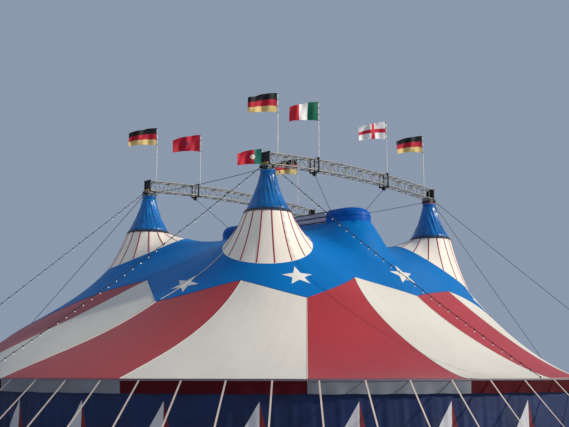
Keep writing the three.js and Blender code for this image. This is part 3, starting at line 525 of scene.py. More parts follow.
def stake_tree():
    """Round stakes with a mushroomed head at every point, standing in the ground."""
    sockets = [
        ("Radius", "NodeSocketFloat", 0.012),
        ("Height", "NodeSocketFloat", 0.27),
        ("Finish", "NodeSocketMaterial", None),
    ]
    tree, given = new_tree("stakes at points", sockets)
    height, radius = given["Height"], given["Radius"]
    bar = {"Vertices": POLE_SIDES, "Radius": radius, "Depth": height}
    shank = put(tree, "GeometryNodeMeshCylinder", bar)
    knob = {"Segments": POLE_SIDES, "Rings": POLE_SIDES // 2, "Radius": product(tree, radius, STAKE_HEAD)}
    head = put(tree, "GeometryNodeMeshUVSphere", knob)
    levels = ((shank, 0.5), (head, STAKE_HEAD_LEVEL))
    parts = [raised(tree, shape.outputs["Mesh"], product(tree, height, share)) for shape, share in levels]
    stakes = at_points(tree, given["Geometry"], joined(tree, parts))
    return end_tree(tree, painted(tree, stakes, given["Finish"]))


def wire_source(name, runs):
    """A bare edge mesh with one chain of edges for each run of points."""
    points, edges = [], []
    for run in runs:
        start = len(points)
        points += [Vector(p) * HALF for p in run]
        edges += [(i, i + 1) for i in range(start, len(points) - 1)]
    mesh = bpy.data.meshes.new(name)
    mesh.from_pydata(points, edges, [])
    source = bpy.data.objects.new(name, mesh)
    bpy.context.collection.objects.link(source)
    return source


def apply_tree(source, tree, name, values, node_names):
    """Runs a geometry tree on a source mesh and keeps the result as a plain mesh piece."""
    modifier = source.modifiers.new("grow", "NODES")
    modifier.node_group = tree
    for item in tree.interface.items_tree:
        if item.item_type == "SOCKET" and item.in_out == "INPUT" and item.name in values:
            modifier[item.identifier] = values[item.name]
    shown = source.evaluated_get(bpy.context.evaluated_depsgraph_get())
    mesh = bpy.data.meshes.new_from_object(shown)
    source.modifiers.remove(modifier)
    bpy.data.objects.remove(source)
    piece = bpy.data.objects.new(name, mesh)
    bpy.context.collection.objects.link(piece)
    mesh.shade_smooth()
    return settle(piece, node_names)


RODS = rod_tree()
BULBS = bulb_tree()
STAKES = stake_tree()


def rods(name, runs, radius, material, node_names, sides=ROD_SIDES):
    """Round rods, ropes or poles along runs of points, as one piece."""
    source = wire_source(name + "_wire", runs)
    values = {"Radius": radius * HALF, "Sides": sides, "Finish": material}
    return apply_tree(source, RODS, name, values, node_names)


# Materials

# Canopy cloth: water marks down the slope, and the welds between its panels
RUN_SCALE = (38.0, 1.6, 1.0)
RUN_RANGE = {"From Min": 0.5, "From Max": 0.85, "To Max": 0.16}
RUN_SHADE = 0.55
WELD_EDGE = 0.482
WELD_COLOUR = 0.12
WELD_SHADE = 0.7
WELD_HEIGHT = 0.05

# Hood tarpaulin
COAT_ROUGHNESS = 0.24
CREASE_SCALE = 4.0
CREASE_STRETCH = (1.0, 1.0, 0.4)

# Spikes on the side wall: step and first place in degrees round the tent, sizes in metres
SPIKE_STEP = 12.2
SPIKE_FIRST = 184.0
SPIKE_HEIGHT = 2.1
WHITE_HALF_WIDTH = 1.25
RED_HALF_WIDTH = 0.5
MUD_RANGE = {"From Max": 0.5, "To Min": 0.45, "To Max": 0.0}

# Flags: length over height, wear, half width of the cross's arms
FLAG_ASPECT = 1.5
FLAG_WEAR = 0.16
CROSS_HALF_WIDTH = 0.12

BULB_GLOW = 0.1


def linear(hex_colour):
    """Linear colour from an sRGB hex string."""
    parts = [int(hex_colour[i : i + 2], 16) / 255 for i in (0, 2, 4)]
    return [p / 12.92 if p <= 0.04045 else ((p + 0.055) / 1.055) ** 2.4 for p in parts] + [1.0]


def shaded(colour, amount):
    return [c * amount for c in colour[:3]] + [1.0]


def new_material(name, roughness, metallic=0.0, coat=0.0, sheen=0.0, specular=0.5):
    """A material, its tree, its shader's inputs, and its Object and UV coordinates."""
    material = bpy.data.materials.new(name)
    material.use_nodes = True
    tree = material.node_tree
    shader = tree.nodes["Principled BSDF"].inputs
    shader["Roughness"].default_value = roughness
    shader["Metallic"].default_value = metallic
    shader["Coat Weight"].default_value = coat
    shader["Sheen Weight"].default_value = sheen
    shader["Specular IOR Level"].default_value = specular
    coordinates = tree.nodes.new("ShaderNodeTexCoord").outputs
    return material, tree, shader, coordinates["Object"], coordinates["UV"]


def noise(tree, place, scale, detail):
    values = {"Vector": place, "Scale": scale, "Detail": detail}
    return put(tree, "ShaderNodeTexNoise", values).outputs["Fac"]


def noise_height(tree, place, scale, weight, detail=3.0):
    """Noise as a height for bumped()."""
    return product(tree, noise(tree, place, scale, detail), weight)


def ranged(tree, value, ends):
    """A value brought from one range to another; ends gives the ends that aren't 0 and 1."""
    return put(tree, "ShaderNodeMapRange", {"Value": value, **ends}).outputs["Result"]


def mixed(tree, factor, a, b):
    """A colour between two, where the factor is 0 for the first and 1 for the second."""
    return put(tree, "ShaderNodeMix", {"Factor": factor, 6: a, 7: b}, data_type="RGBA").outputs[2]


def mottled(tree, place, colour, shade, scale, detail, low=0.35, high=0.7):
    """A colour that wanders towards a darker shade."""
    amount = ranged(tree, noise(tree, place, scale, detail), {"From Min": low, "From Max": high})
    return mixed(tree, amount, shaded(colour, shade), colour)


def bumped(tree, shader, heights, distance, strength):
    """Joins heights into one bump on the shader."""
    total = heights[0]
    for height in heights[1:]:
        total = sum_of(tree, total, height)
    bump = put(tree, "ShaderNodeBump", {"Height": total, "Distance": distance, "Strength": strength})
    tree.links.new(bump.outputs["Normal"], shader["Normal"])


def canopy_cloth(name, hex_colour, panels, stain=0.82, roughness=0.5, sheen=0.08, specular=0.5):
    """Coated canopy cloth: welded panels, faint run marks down the slope and soft creases."""
    material, tree, shader, place, uv = new_material(name, roughness, sheen=sheen, specular=specular)
    colour = linear(hex_colour)
    base = mottled(tree, place, colour, stain, scale=0.55, detail=8.0, low=0.25, high=0.6)
    stretched = put(tree, "ShaderNodeMapping", {"Vector": uv, "Scale": RUN_SCALE}).outputs["Vector"]
    runs = ranged(tree, noise(tree, stretched, scale=1.0, detail=4.0), RUN_RANGE)
    streaked = mixed(tree, runs, base, shaded(colour, RUN_SHADE))
    split = put(tree, "ShaderNodeSeparateXYZ", {"Vector": uv})
    across = reckon(tree, "FRACT", product(tree, split.outputs["X"], float(panels)))
    weld = reckon(tree, "GREATER_THAN", reckon(tree, "ABSOLUTE", sum_of(tree, across, -0.5)), WELD_EDGE)
    welded = mixed(tree, product(tree, weld, WELD_COLOUR), streaked, shaded(colour, WELD_SHADE))
    tree.links.new(welded, shader["Base Color"])
    creases = noise_height(tree, place, scale=1.3, weight=1.0, detail=6.0)
    grain = noise_height(tree, place, scale=60.0, weight=0.03)
    bumped(tree, shader, [creases, grain, product(tree, weld, WELD_HEIGHT)], distance=0.05, strength=0.35)
    return material


def tarpaulin(name, hex_colour):
    """Glossy coated tarpaulin with sharp creases."""
    material, tree, shader, place, _ = new_material(name, 0.32, coat=0.45, specular=0.2)
    shader["Coat Roughness"].default_value = COAT_ROUGHNESS
    base = mottled(tree, place, linear(hex_colour), 0.45, scale=1.4, detail=5.0, low=0.3, high=0.62)
    tree.links.new(base, shader["Base Color"])
    squeezed = put(tree, "ShaderNodeMapping", {"Vector": place, "Scale": CREASE_STRETCH}).outputs["Vector"]
    cells = put(tree, "ShaderNodeTexVoronoi", {"Vector": squeezed, "Scale": CREASE_SCALE})
    heights = [
        product(tree, cells.outputs["Distance"], 0.5),
        noise_height(tree, place, scale=5.0, weight=0.6, detail=5.0),
        noise_height(tree, place, scale=60.0, weight=0.02),
    ]
    bumped(tree, shader, heights, distance=0.045, strength=0.65)
    return material


def plain_cloth(name, hex_colour, roughness=0.6, scale=2.0, stain=0.8, sheen=0.15, specular=0.5):
    """Cloth without panels, for webbing, curtains, hems and stars."""
    material, tree, shader, place, _ = new_material(name, roughness, sheen=sheen, specular=specular)
    base = mottled(tree, place, linear(hex_colour), stain, scale, detail=7.0)
    tree.links.new(base, shader["Base Color"])
    creases = noise_height(tree, place, scale=6.0, weight=1.0, detail=5.0)
    weave = noise_height(tree, place, scale=220.0, weight=0.08)
    bumped(tree, shader, [creases, weave], distance=0.02, strength=0.4)
    return material


def metal(name, hex_colour, roughness, metallic=0.85, scale=12.0, stain=0.6):
    """Metal or paint with scuffs and dull patches."""
    material, tree, shader, place, _ = new_material(name, roughness, metallic)
    base = mottled(tree, place, linear(hex_colour), stain, scale, detail=8.0)
    tree.links.new(base, shader["Base Color"])
    ends = {"To Min": roughness * 0.75, "To Max": min(1.0, roughness * 1.35)}
    tree.links.new(ranged(tree, noise(tree, place, scale * 3, 6.0), ends), shader["Roughness"])
    pits = noise_height(tree, place, scale * 8, weight=1.0, detail=4.0)
    bumped(tree, shader, [pits], distance=0.002, strength=0.3)
    return material


def wall_cloth():
    """Dark blue wall cloth with tall spikes, each half white and half dark red.

    The UV map gives metres along the wall and metres above the ground.
    """
    material, tree, shader, place, uv = new_material("side wall cloth", 0.6, specular=0.3)
    split = put(tree, "ShaderNodeSeparateXYZ", {"Vector": uv})
    along, height = split.outputs["X"], split.outputs["Y"]
    step = math.radians(SPIKE_STEP) * WALL_RADIUS
    turns = sum_of(tree, reckon(tree, "DIVIDE", along, step), 0.5)
    offset = product(tree, sum_of(tree, reckon(tree, "FRACT", turns), -0.5), step)
    distance = reckon(tree, "ABSOLUTE", offset)
    left = reckon(tree, "SUBTRACT", SPIKE_HEIGHT, height)
    left_half = below(tree, offset, 0.0)
    slopes = {"To Min": RED_HALF_WIDTH / SPIKE_HEIGHT, "To Max": WHITE_HALF_WIDTH / SPIKE_HEIGHT}
    inside = below(tree, distance, product(tree, left, ranged(tree, left_half, slopes)))
    half = mixed(tree, left_half, linear("6e1520"), linear("c4c2c4"))
    cloth = mottled(tree, place, linear("042252"), 0.6, scale=0.9, detail=6.0)
    spiked = mixed(tree, inside, cloth, half)
    mud = product(tree, ranged(tree, height, MUD_RANGE), noise(tree, place, scale=2.5, detail=7.0))
    tree.links.new(mixed(tree, mud, spiked, linear("6b5d4a")), shader["Base Color"])
    folds = noise_height(tree, place, scale=2.2, weight=1.0, detail=6.0)
    weave = noise_height(tree, place, scale=150.0, weight=0.03)
    bumped(tree, shader, [folds, weave], distance=0.05, strength=0.5)
    return material


def flag_cloth(name, bands, upright=False, emblem=None):
    """Flag cloth in equal bands; the UV map runs from the pole outwards and from top to bottom."""
    material, tree, shader, place, uv = new_material(name, 0.65, sheen=0.05, specular=0.2)
    split = put(tree, "ShaderNodeSeparateXYZ", {"Vector": uv}).outputs
    shown = linear(bands[0])
    for k, band in enumerate(bands[1:], 1):
        passed = reckon(tree, "GREATER_THAN", split["X" if upright else "Y"], k / len(bands))
        shown = mixed(tree, passed, shown, linear(band))
    if emblem:
        shown = emblem(tree, split, shown)
    wear = product(tree, noise(tree, place, scale=9.0, detail=6.0), FLAG_WEAR)
    tree.links.new(mixed(tree, wear, shown, linear("2a2428")), shader["Base Color"])
    creases = noise_height(tree, place, scale=25.0, weight=1.0, detail=5.0)
    bumped(tree, shader, [creases], distance=0.01, strength=0.4)
    return material


def cross(hex_colour):
    """An upright cross through the middle of a flag."""

    def draw(tree, split, shown):
        for key, aspect in (("X", FLAG_ASPECT), ("Y", 1.0)):
            away = reckon(tree, "ABSOLUTE", sum_of(tree, split[key], -0.5))
            arm = below(tree, away, CROSS_HALF_WIDTH / aspect)
            shown = mixed(tree, arm, shown, linear(hex_colour))
        return shown

    return draw


def disc(hex_colour, centre, radius):
    """A round disc at a share of a flag's length from the pole."""

    def draw(tree, split, shown):
        dx = product(tree, sum_of(tree, split["X"], -centre), FLAG_ASPECT)
        dy = sum_of(tree, split["Y"], -0.5)
        square = sum_of(tree, product(tree, dx, dx), product(tree, dy, dy))
        return mixed(tree, below(tree, square, radius * radius), shown, linear(hex_colour))

    return draw


def bulb_glass():
    """Pearly glass with a faint glow."""
    material, tree, shader, place, _ = new_material("white bulb", 0.15, coat=0.6)
    pearl = linear("fbf8ee")
    tree.links.new(mottled(tree, place, pearl, 0.92, scale=30.0, detail=2.0), shader["Base Color"])
    shader["Emission Color"].default_value = pearl
    shader["Emission Strength"].default_value = BULB_GLOW
    return material


RED_CLOTH = canopy_cloth("red canopy cloth", "b02028", 4, 0.86)
WHITE_CLOTH = canopy_cloth("white canopy cloth", "e9e0cf", 4, 0.9)
BLUE_CLOTH = canopy_cloth("blue canopy cloth", "0072ba", 24, 0.85, 0.45, 0.0, 0.12)
CREAM_CLOTH = canopy_cloth("cream cone cloth", "faeddb", 36, 0.9)
HOOD_TARPAULIN = tarpaulin("blue hood tarpaulin", "006cb4")
# The hood hem's dark colour is painted shade: it stands for the shaded underside of the hood's flared foot
HEM_PAINTED_SHADE_CLOTH = plain_cloth("dark hood hem painted as shade", "0b1a33", 0.5)
# Painted shade: the valance cloths are darker copies of the red and white gore cloths, as they look in the
# shade under the eave
SHADED_VALANCE_RED = plain_cloth("red valance cloth darkened as painted shade", "48060e", 0.7, 1.5, sheen=0.0, specular=0.1)
SHADED_VALANCE_WHITE = plain_cloth("white valance cloth greyed as painted shade", "787b82", 0.6, 1.5, sheen=0.0, specular=0.2)
PIPING_RED = plain_cloth("dark red piping", "a41c24", 0.5, 3.0)
EDGE_WEBBING = plain_cloth("cream edge webbing", "efe4cf", 0.55, 3.0)
STAR_CLOTH = plain_cloth("white star cloth", "eee9de", 0.5, 1.2, 0.88)
DRUM_CLOTH = canopy_cloth("blue cupola cloth", "0058ae", 6, 0.75, 0.45, 0.0, 0.12)
CURTAIN_MAUVE = plain_cloth("mauve cupola curtain", "c2bac8", 0.6, 2.2, 0.82)
CURTAIN_DARK = plain_cloth("dark cupola piping", "2a2238", 0.6, 2.2)
STRAP_CLOTH = plain_cloth("pale strap webbing", "d6c3b6", 0.6, 4.0)
BLUE_HEM = plain_cloth("blue hem webbing", "0065ac", 0.5, 2.0, sheen=0.0, specular=0.12)
BELT_CLOTH = plain_cloth("dull belt webbing", "75676f", 0.6, 4.0)
WALL_CLOTH = wall_cloth()
TRUSS_METAL = metal("dull truss aluminium", "9e9c92", 0.5, 0.5)
BLACK_STEEL = metal("black painted steel", "17181b", 0.5, 0.3)
MAST_STEEL = metal("grey painted mast steel", "878c90", 0.45, 0.6)
RED_PAINT = metal("red painted collar", "b5251f", 0.4, 0.1)
YELLOW_PAINT = metal("yellow painted clamp", "d8b21c", 0.45, 0.1)
POLE_PAINT = metal("white painted flagpole", "eceae4", 0.35, 0.0)
CABLE_STEEL = metal("dark steel cable", "4a4b50", 0.45, 0.6)
STAKE_STEEL = metal("rusty stake steel", "6d5a4c", 0.6, 0.5)
BULB_HOLDER = metal("black bulb holder", "1c1c1f", 0.5, 0.0)
BULB_GLASS = bulb_glass()


# Gores, valance and seams

GORE_ACROSS = 18
GORE_ALONG = 40
VALANCE_ACROSS = 49
VALANCE_ALONG = 7
VALANCE_HANG = 0.01
VALANCE_INSET = 0.004
# Depth of the valance's folds, how many stand round the tent, and where they start
VALANCE_FOLDS = ((0.06, 128, 0.0), (0.05, 37, 1.3))
VALANCE_HEM_DEPTH = 0.012
VALANCE_HEM_WAVES = 64

SEAM_STEPS = 50
SEAM_WIDTH = 0.035
SEAM_RISE = 0.012
# Two seams whose cream edging is widened as a painted highlight: besides the real edging, it stands for the
# sunlit edge of a fold
SEAMS_WITH_PAINTED_HIGHLIGHT = (1, 9)
PAINTED_HIGHLIGHT_SEAM_WIDTH = 0.14
PAINTED_HIGHLIGHT_SEAM_RISE = 0.02
CROWN_HEM_WIDTH = 0.06
CROWN_HEM_RISE = 0.016


def gore_sides(i):
    """The seams on both sides of a gore, the second with its angle past the first one's."""
    left, right = SEAMS[i], SEAMS[(i + 1) % len(SEAMS)]
    if i == len(SEAMS) - 1:
        right = (right[0], right[1] + 360, *right[2:])
    return left, right


def gore_grid(i):
    """Points and UV map of a gore, from the crown to the eave."""
    (corner, angle, bow, _), (next_corner, next_angle, next_bow, _) = gore_sides(i)
    t, s = np.meshgrid(
        np.linspace(0, 1, GORE_ACROSS + 1), np.linspace(0, 1, GORE_ALONG + 1), indexing="ij"
    )
    top = crown_side(i, t)
    foot = on_circle(angle + (next_angle - angle) * t)
    start = bow_offset(corner, on_circle(angle), *bow, s)
    end = bow_offset(next_corner, on_circle(next_angle), *next_bow, s)
    x, y = (top[k] + (foot[k] - top[k]) * s + start[k] * (1 - t) + end[k] * t for k in (0, 1))
    return on_sheet(x, y), np.stack([t, 1 - s], -1)


def valance_grid(i):
    """Points and UV map of the cloth hanging from a gore's eave, with folds that grow downwards."""
    first, last = (side[1] for side in gore_sides(i))
    a, d = np.meshgrid(
        np.linspace(first, last, VALANCE_ACROSS), np.linspace(0, 1, VALANCE_ALONG), indexing="ij"
    )
    turn = np.radians(a)
    folds = sum(depth * unit_wave(turn * count + start) for depth, count, start in VALANCE_FOLDS)
    x, y = on_circle(a, CANOPY_RADIUS - VALANCE_INSET - d * folds)
    hem = VALANCE_HEM_DEPTH * np.sin(turn * VALANCE_HEM_WAVES) * d
    z = EAVE_HEIGHT - VALANCE_HANG - VALANCE_DROP * d + hem
    return np.stack([x, y, z], -1), np.stack([(a - first) / (last - first), 1 - d], -1)


def dress_gores():
    """Each gore, with the valance in the other colour that hangs from its eave; the valance colours are
    darkened as painted shade of the eave.
    """
    for i in range(len(SEAMS)):
        red = i % 2 == 1
        node = f"{'red' if red else 'white'}_gore_{i // 2 + 1}"
        points, uv = gore_grid(i)
        cloth, slot = (RED_CLOTH, "red_fabric") if red else (WHITE_CLOTH, "white_fabric")
        faces = skin(points, centre=(0, 0, 0))
        gore = make_piece(f"{node}_cloth", points, faces, cloth, slot, [node], uv=uv)
        thicken(gore)
        hung, hung_uv = valance_grid(i)
        faces = skin(hung, centre=(0, 0, EAVE_HEIGHT))
        cloth, slot = (SHADED_VALANCE_WHITE, "white_fabric") if red else (SHADED_VALANCE_RED, "red_fabric")
        valance = make_piece(f"valance_{i + 1}", hung, faces, cloth, slot, [node], uv=hung_uv)
        thicken(valance)


def dress_seams():
    """Cream edging along the gores' seams, and a hem along the crown's zigzag. On two seams the edging is
    widened as a painted highlight of a sunlit fold edge.
    """
    steps = np.linspace(0, 1, SEAM_STEPS)
    seams = [sheet_run(*seam_line(i, steps)) for i in range(len(SEAMS))]
    hems = [sheet_run(*crown_side(i, steps)) for i in range(len(SEAMS))]
    narrow = [run for i, run in enumerate(seams) if i not in SEAMS_WITH_PAINTED_HIGHLIGHT]
    wide = [seams[i] for i in SEAMS_WITH_PAINTED_HIGHLIGHT]
    ribbon("seam_edging", narrow, SEAM_WIDTH, EDGE_WEBBING, "cream_fabric", [], SEAM_RISE)
    ribbon("seam_edging_with_painted_highlight", wide, PAINTED_HIGHLIGHT_SEAM_WIDTH, EDGE_WEBBING, "cream_fabric", [], PAINTED_HIGHLIGHT_SEAM_RISE)
    ribbon("crown_hem", hems, CROWN_HEM_WIDTH, BLUE_HEM, "blue_fabric", [], CROWN_HEM_RISE)


# Crown and stars

CROWN_STEPS_PER_SIDE = 16
CROWN_RINGS = 72
CROWN_START = (0.7, 5.0)
CROWN_ROPE = ((-9.2, -4.1), (-12.1, -2.75))
CROWN_ROPE_RADIUS = 0.018
CROWN_ROPE_LIFT = 0.03
CROWN_ROPE_STEPS = 40
# Plan place of each star, with the plan directions and lengths of its upright and its arms
STARS = [
    ((-10.93, -3.21), (-0.38, 0.7), (0.45, 0.73)),
    ((-7.83, -8.11), (0.16, 0.4), (0.77, -0.33)),
    ((0.48, -8.11), (0.28, 0.75), (1.11, 0.08)),
    ((7.6, -8.35), (-0.4, 0.7), (0.75, 0.3)),
]
TURNED_STARS = [tuple((-x, -y) for x, y in star) for star in STARS[:-1]]
# The copy of the last star, moved up because the crown reaches less far down there
NORTH_WEST_STAR = ((-7.5, 8.0), (0.4, -0.7), (-0.75, -0.3))
STAR_CORNERS = 10
STAR_RINGS = 10
STAR_WAIST = 0.4
STAR_LIFT = 0.01


def crown_mesh():
    """Crown points, UV map and faces, with round holes for the cones."""
    shares = [k / CROWN_STEPS_PER_SIDE for k in range(CROWN_STEPS_PER_SIDE)]
    edge = np.array([crown_side(i, t) for i in range(len(SEAMS)) for t in shares])
    reach = np.maximum(np.abs(edge[:, 0]) / CROWN_START[0], np.abs(edge[:, 1]) / CROWN_START[1])
    start = edge / reach[:, None]
    s = np.linspace(0, 1, CROWN_RINGS + 1)[None, :, None]
    plan = start[:, None, :] + (edge - start)[:, None, :] * s
    x, y = plan[..., 0].ravel(), plan[..., 1].ravel()
    faces = grid_faces(len(edge), CROWN_RINGS + 1, wrap=True)
    gone = np.zeros(len(faces), bool)
    for mx, my in MASTS.values():
        away = np.hypot(x - mx, y - my)
        inside = away < CONE_RADIUS
        gone |= inside[faces].all(1)
        push = CONE_RADIUS / np.maximum(away[inside], TINY)
        x[inside] = mx + (x[inside] - mx) * push
        y[inside] = my + (y[inside] - my) * push
    points = on_sheet(x, y)
    around = np.repeat(np.arange(len(edge)) / len(edge), CROWN_RINGS + 1)
    uv = np.stack([around, np.tile(1 - s.ravel(), len(edge))], -1)
    used, inverse = np.unique(faces[~gone], return_inverse=True)
    return points[used], uv[used], facing(points[used], inverse.reshape(-1, 4), (0, 0, 0))


def star_corner(star, k):
    """Plan place of one of a star's tips and waists."""
    place, up, across = star
    size = 1 if k % 2 == 0 else STAR_WAIST
    turn = TURN * k / STAR_CORNERS
    rise, reach = size * math.cos(turn), size * math.sin(turn)
    return [place[j] + up[j] * rise + across[j] * reach for j in (0, 1)]


def star_mesh(star):
    """A five-pointed star lying on the sheet, as rings of triangles round its middle."""
    x, y = star[0]
    corners = [star_corner(star, k % STAR_CORNERS) for k in range(STAR_CORNERS + 1)]
    plan, rings = [(x, y)], [[0]]
    for ring in range(1, STAR_RINGS + 1):
        first = len(plan)
        for (ax, ay), (bx, by) in zip(corners, corners[1:]):
            for j in range(ring):
                t = j / ring
                px = x + (ax + (bx - ax) * t - x) * ring / STAR_RINGS
                py = y + (ay + (by - ay) * t - y) * ring / STAR_RINGS
                plan.append((px, py))
        rings.append(range(first, len(plan)))
    faces = []
    for ring in range(1, STAR_RINGS + 1):
        outer, inner = rings[ring], rings[ring - 1]
        for k in range(STAR_CORNERS):
            for j in range(ring):
                o0, o1 = (outer[(k * ring + j + step) % len(outer)] for step in (0, 1))
                i0, i1 = (inner[(k * (ring - 1) + j + step) % len(inner)] for step in (0, 1))
                faces.append((o0, o1, i0))
                if j < ring - 1:
                    faces.append((o1, i1, i0))
    plan = np.array(plan)
    points = on_sheet(plan[:, 0], plan[:, 1], STAR_LIFT)
    return points, facing(points, np.array(faces), (0, 0, 0))


def dress_crown():
    """The crown's cloth, with its stars and the ropes that lie on it."""
    for k, star in enumerate(STARS + TURNED_STARS + [NORTH_WEST_STAR]):
        make_piece(f"star_{k + 1}", *star_mesh(star), STAR_CLOTH, "white_fabric", [])
    points, uv, faces = crown_mesh()
    name, nodes = "blue_crown_cloth", ["blue_crown"]
    crown = thicken(make_piece(name, points, faces, BLUE_CLOTH, "blue_fabric", nodes, uv=uv))
    x, y = bowed_line(*CROWN_ROPE, 0, 0, np.linspace(0, 1, CROWN_ROPE_STEPS))
    ropes = [on_sheet(sign * x, sign * y, CROWN_ROPE_LIFT) for sign in (1, -1)]
    rods("crown_ropes", ropes, CROWN_ROPE_RADIUS, EDGE_WEBBING, [], sides=ROPE_SIDES)


# Cones and hoods

CONE_AROUND = 144
CONE_ALONG = 24
CONE_SAG = 0.035
PIPING_WIDTH = 0.072
PIPING_RISE = 0.016
PIPING_STEPS = 30
PIPING_REACH = 0.995

HOOD_AROUND = 160
HOOD_ALONG = 56
HOOD_SLACK = 0.012
FOLD_DEPTH = 0.065
FOLD_WAVES = 5
WRINKLE_DEPTH = 0.03
WRINKLE_COUNT = 11
# How far the wrinkles lean and the folds wander on their way up
WRINKLE_LEAN = 4
FOLD_WANDER = 3
GATHER_DEPTH = 0.03
GATHER_COUNT = 26
GATHER_FADE = 9
# The folds are deepest half way up and die down towards both ends
BODY_STRETCH = 1.05
BODY_START = 0.06
# Depth, height share and reach of the hollows where the hood is tied in
HOOD_HOLLOWS = ((0.05, 0.93, 0.025), (0.03, 0.07, 0.02))
# The dark hem band, painted shade for the shaded underside of the hood's flared foot: its low and high edge
# above the foot, how far it stands proud, and its gathers
HEM_LOW = -0.02
HEM_TOP = 0.13
HEM_STEPS = 6
HEM_PROUD = 0.022
HEM_RIPPLE = 0.014
LASHING_SHARES = (0.91, 0.94)
LASHING_RADIUS = 0.4
LASHING_WAVE = 0.015
LASHING_ROPE = 0.02
LASHING_STEPS = 49


def round_place(centre, radius, angle, z):
    """Points at an angle and a height round an upright line."""
    return np.stack([centre[0] + radius * np.cos(angle), centre[1] + radius * np.sin(angle), z], -1)


def turns_and_shares(around, along):
    """A grid of angles all the way round, and of shares from 0 to 1."""
    angles = np.linspace(0, TURN, around, endpoint=False)
    return np.meshgrid(angles, np.linspace(0, 1, along), indexing="ij")


def cone_point(mast, radius, angle):
    """Points on a cone, which falls in a trumpet curve from the rim to the crown."""
    foot = sheet_height(mast[0] + CONE_RADIUS * np.cos(angle), mast[1] + CONE_RADIUS * np.sin(angle))
    fall = np.log(radius / CONE_RIM_RADIUS) / math.log(CONE_RADIUS / CONE_RIM_RADIUS)
    return round_place(mast, radius, angle, HOOD_BASE_HEIGHT + (foot - HOOD_BASE_HEIGHT) * fall)


def piping_run(mast, turn):
    """A run for ribbon() down a cone."""
    out = np.linspace(CONE_RIM_RADIUS, CONE_RADIUS * PIPING_REACH, PIPING_STEPS)
    line = cone_point(mast, out, np.full(len(out), turn))
    normal = np.cross(np.gradient(line, axis=0), (-math.sin(turn), math.cos(turn), 0))
    normal /= np.linalg.norm(normal, axis=1)[:, None]
    return line, normal * np.sign(normal[:, 2:3] + TINY)


def dress_cone(name, mast):
    """A cone's cloth, which sags a little between its rows of piping."""
    angle, share = turns_and_shares(CONE_AROUND, CONE_ALONG + 1)
    points = cone_point(mast, CONE_RIM_RADIUS * (CONE_RADIUS / CONE_RIM_RADIUS) ** share, angle)
    hollow = 0.5 - 0.5 * np.cos((angle - PIPING_TURN) * PIPING_COUNT)
    points[..., 2] -= CONE_SAG * hollow * np.sin(np.pi * share)
    node = f"cone_{name}"
    runs = [piping_run(mast, PIPING_TURN + TURN * k / PIPING_COUNT) for k in range(PIPING_COUNT)]
    piping = ribbon(f"{node}_piping", runs, PIPING_WIDTH, PIPING_RED, "cream_fabric", [], PIPING_RISE)
    faces = skin(points, (*mast, EAVE_HEIGHT), wrap=True)
    uv = np.stack([angle / TURN, 1 - share], -1)
    cone = make_piece(f"{node}_cloth", points, faces, CREAM_CLOTH, "cream_fabric", [node], uv=uv)
    thicken(cone)


def wave(angle, height, seed):
    """Smooth wandering value round a hood, the same each run."""
    total = 0.0
    for k in range(1, FOLD_WAVES + 1):
        turns = 2 + ((seed * 7 + k * 5) % 9)
        phase = seed * 1.7 + k * 2.3
        total = total + np.sin(angle * turns + phase + height * (1.1 + 0.6 * k)) / (k + 1)
    return total


def hood_grid(mast, seed):
    """Points and UV map of a hood, wrinkled down its length and tied in near both ends."""
    angle, t = turns_and_shares(HOOD_AROUND, HOOD_ALONG + 1)
    radius = HOOD_TOP_RADIUS + (HOOD_BASE_RADIUS - HOOD_TOP_RADIUS) * (1 - t) ** HOOD_FLARE
    wrinkles = WRINKLE_DEPTH * np.abs(np.sin(angle * WRINKLE_COUNT + WRINKLE_LEAN * t + seed))
    folds = FOLD_DEPTH * np.abs(wave(angle, t * FOLD_WANDER, seed)) + wrinkles
    body = np.sin(np.pi * np.clip(t * BODY_STRETCH + BODY_START, 0, 1))
    gather = GATHER_DEPTH * unit_wave(angle * GATHER_COUNT) * np.clip(1 - t * GATHER_FADE, 0, 1)
    hollows = sum(depth * np.exp(-(((t - place) / reach) ** 2)) for depth, place, reach in HOOD_HOLLOWS)
    size = radius - folds * body - gather - hollows + HOOD_SLACK
    z = HOOD_BASE_HEIGHT + (HOOD_TOP_HEIGHT - HOOD_BASE_HEIGHT) * t
    return round_place(mast, size, angle, z), np.stack([angle / TURN, t], -1)


def hem_shade_band_grid(mast):
    """Points of the gathered dark band round a hood's foot, which stands in as painted shade for the hood's
    shaded underside.
    """
    angle, share = turns_and_shares(HOOD_AROUND, HEM_STEPS)
    level = HEM_LOW + (HEM_TOP - HEM_LOW) * share
    spread = (HOOD_BASE_RADIUS - HOOD_TOP_RADIUS) * HOOD_FLARE
    shrink = spread * level / (HOOD_TOP_HEIGHT - HOOD_BASE_HEIGHT)
    band = HOOD_BASE_RADIUS + HEM_PROUD - shrink + HEM_RIPPLE * np.sin(angle * GATHER_COUNT) * (1 - share)
    return round_place(mast, band, angle, HOOD_BASE_HEIGHT + level)


def dress_hood(name, mast, seed):
    """The hood's tarpaulin, its dark gathered hem as painted shade of the hood's underside, and the lashing
    round its neck.
    """
    node, slot, centre = f"hood_{name}", "blue_tarpaulin", (*mast, HOOD_BASE_HEIGHT)
    band = hem_shade_band_grid(mast)
    hem = thicken(make_piece(f"{node}_hem", band, skin(band, centre, wrap=True), HEM_PAINTED_SHADE_CLOTH, slot, []))
    turn = np.linspace(0, TURN, LASHING_STEPS)
    levels = [HOOD_BASE_HEIGHT + (HOOD_TOP_HEIGHT - HOOD_BASE_HEIGHT) * share for share in LASHING_SHARES]
    rings = [round_place(mast, LASHING_RADIUS, turn, z + LASHING_WAVE * np.sin(turn * 2)) for z in levels]
    rope = rods(f"{node}_lashing", rings, LASHING_ROPE, BLUE_HEM, [], sides=ROPE_SIDES)
    points, uv = hood_grid(mast, seed)
    faces = skin(points, centre, wrap=True)
    hood = make_piece(f"{node}_cloth", points, faces, HOOD_TARPAULIN, slot, [node], uv=uv)
    thicken(hood)


# Cupola

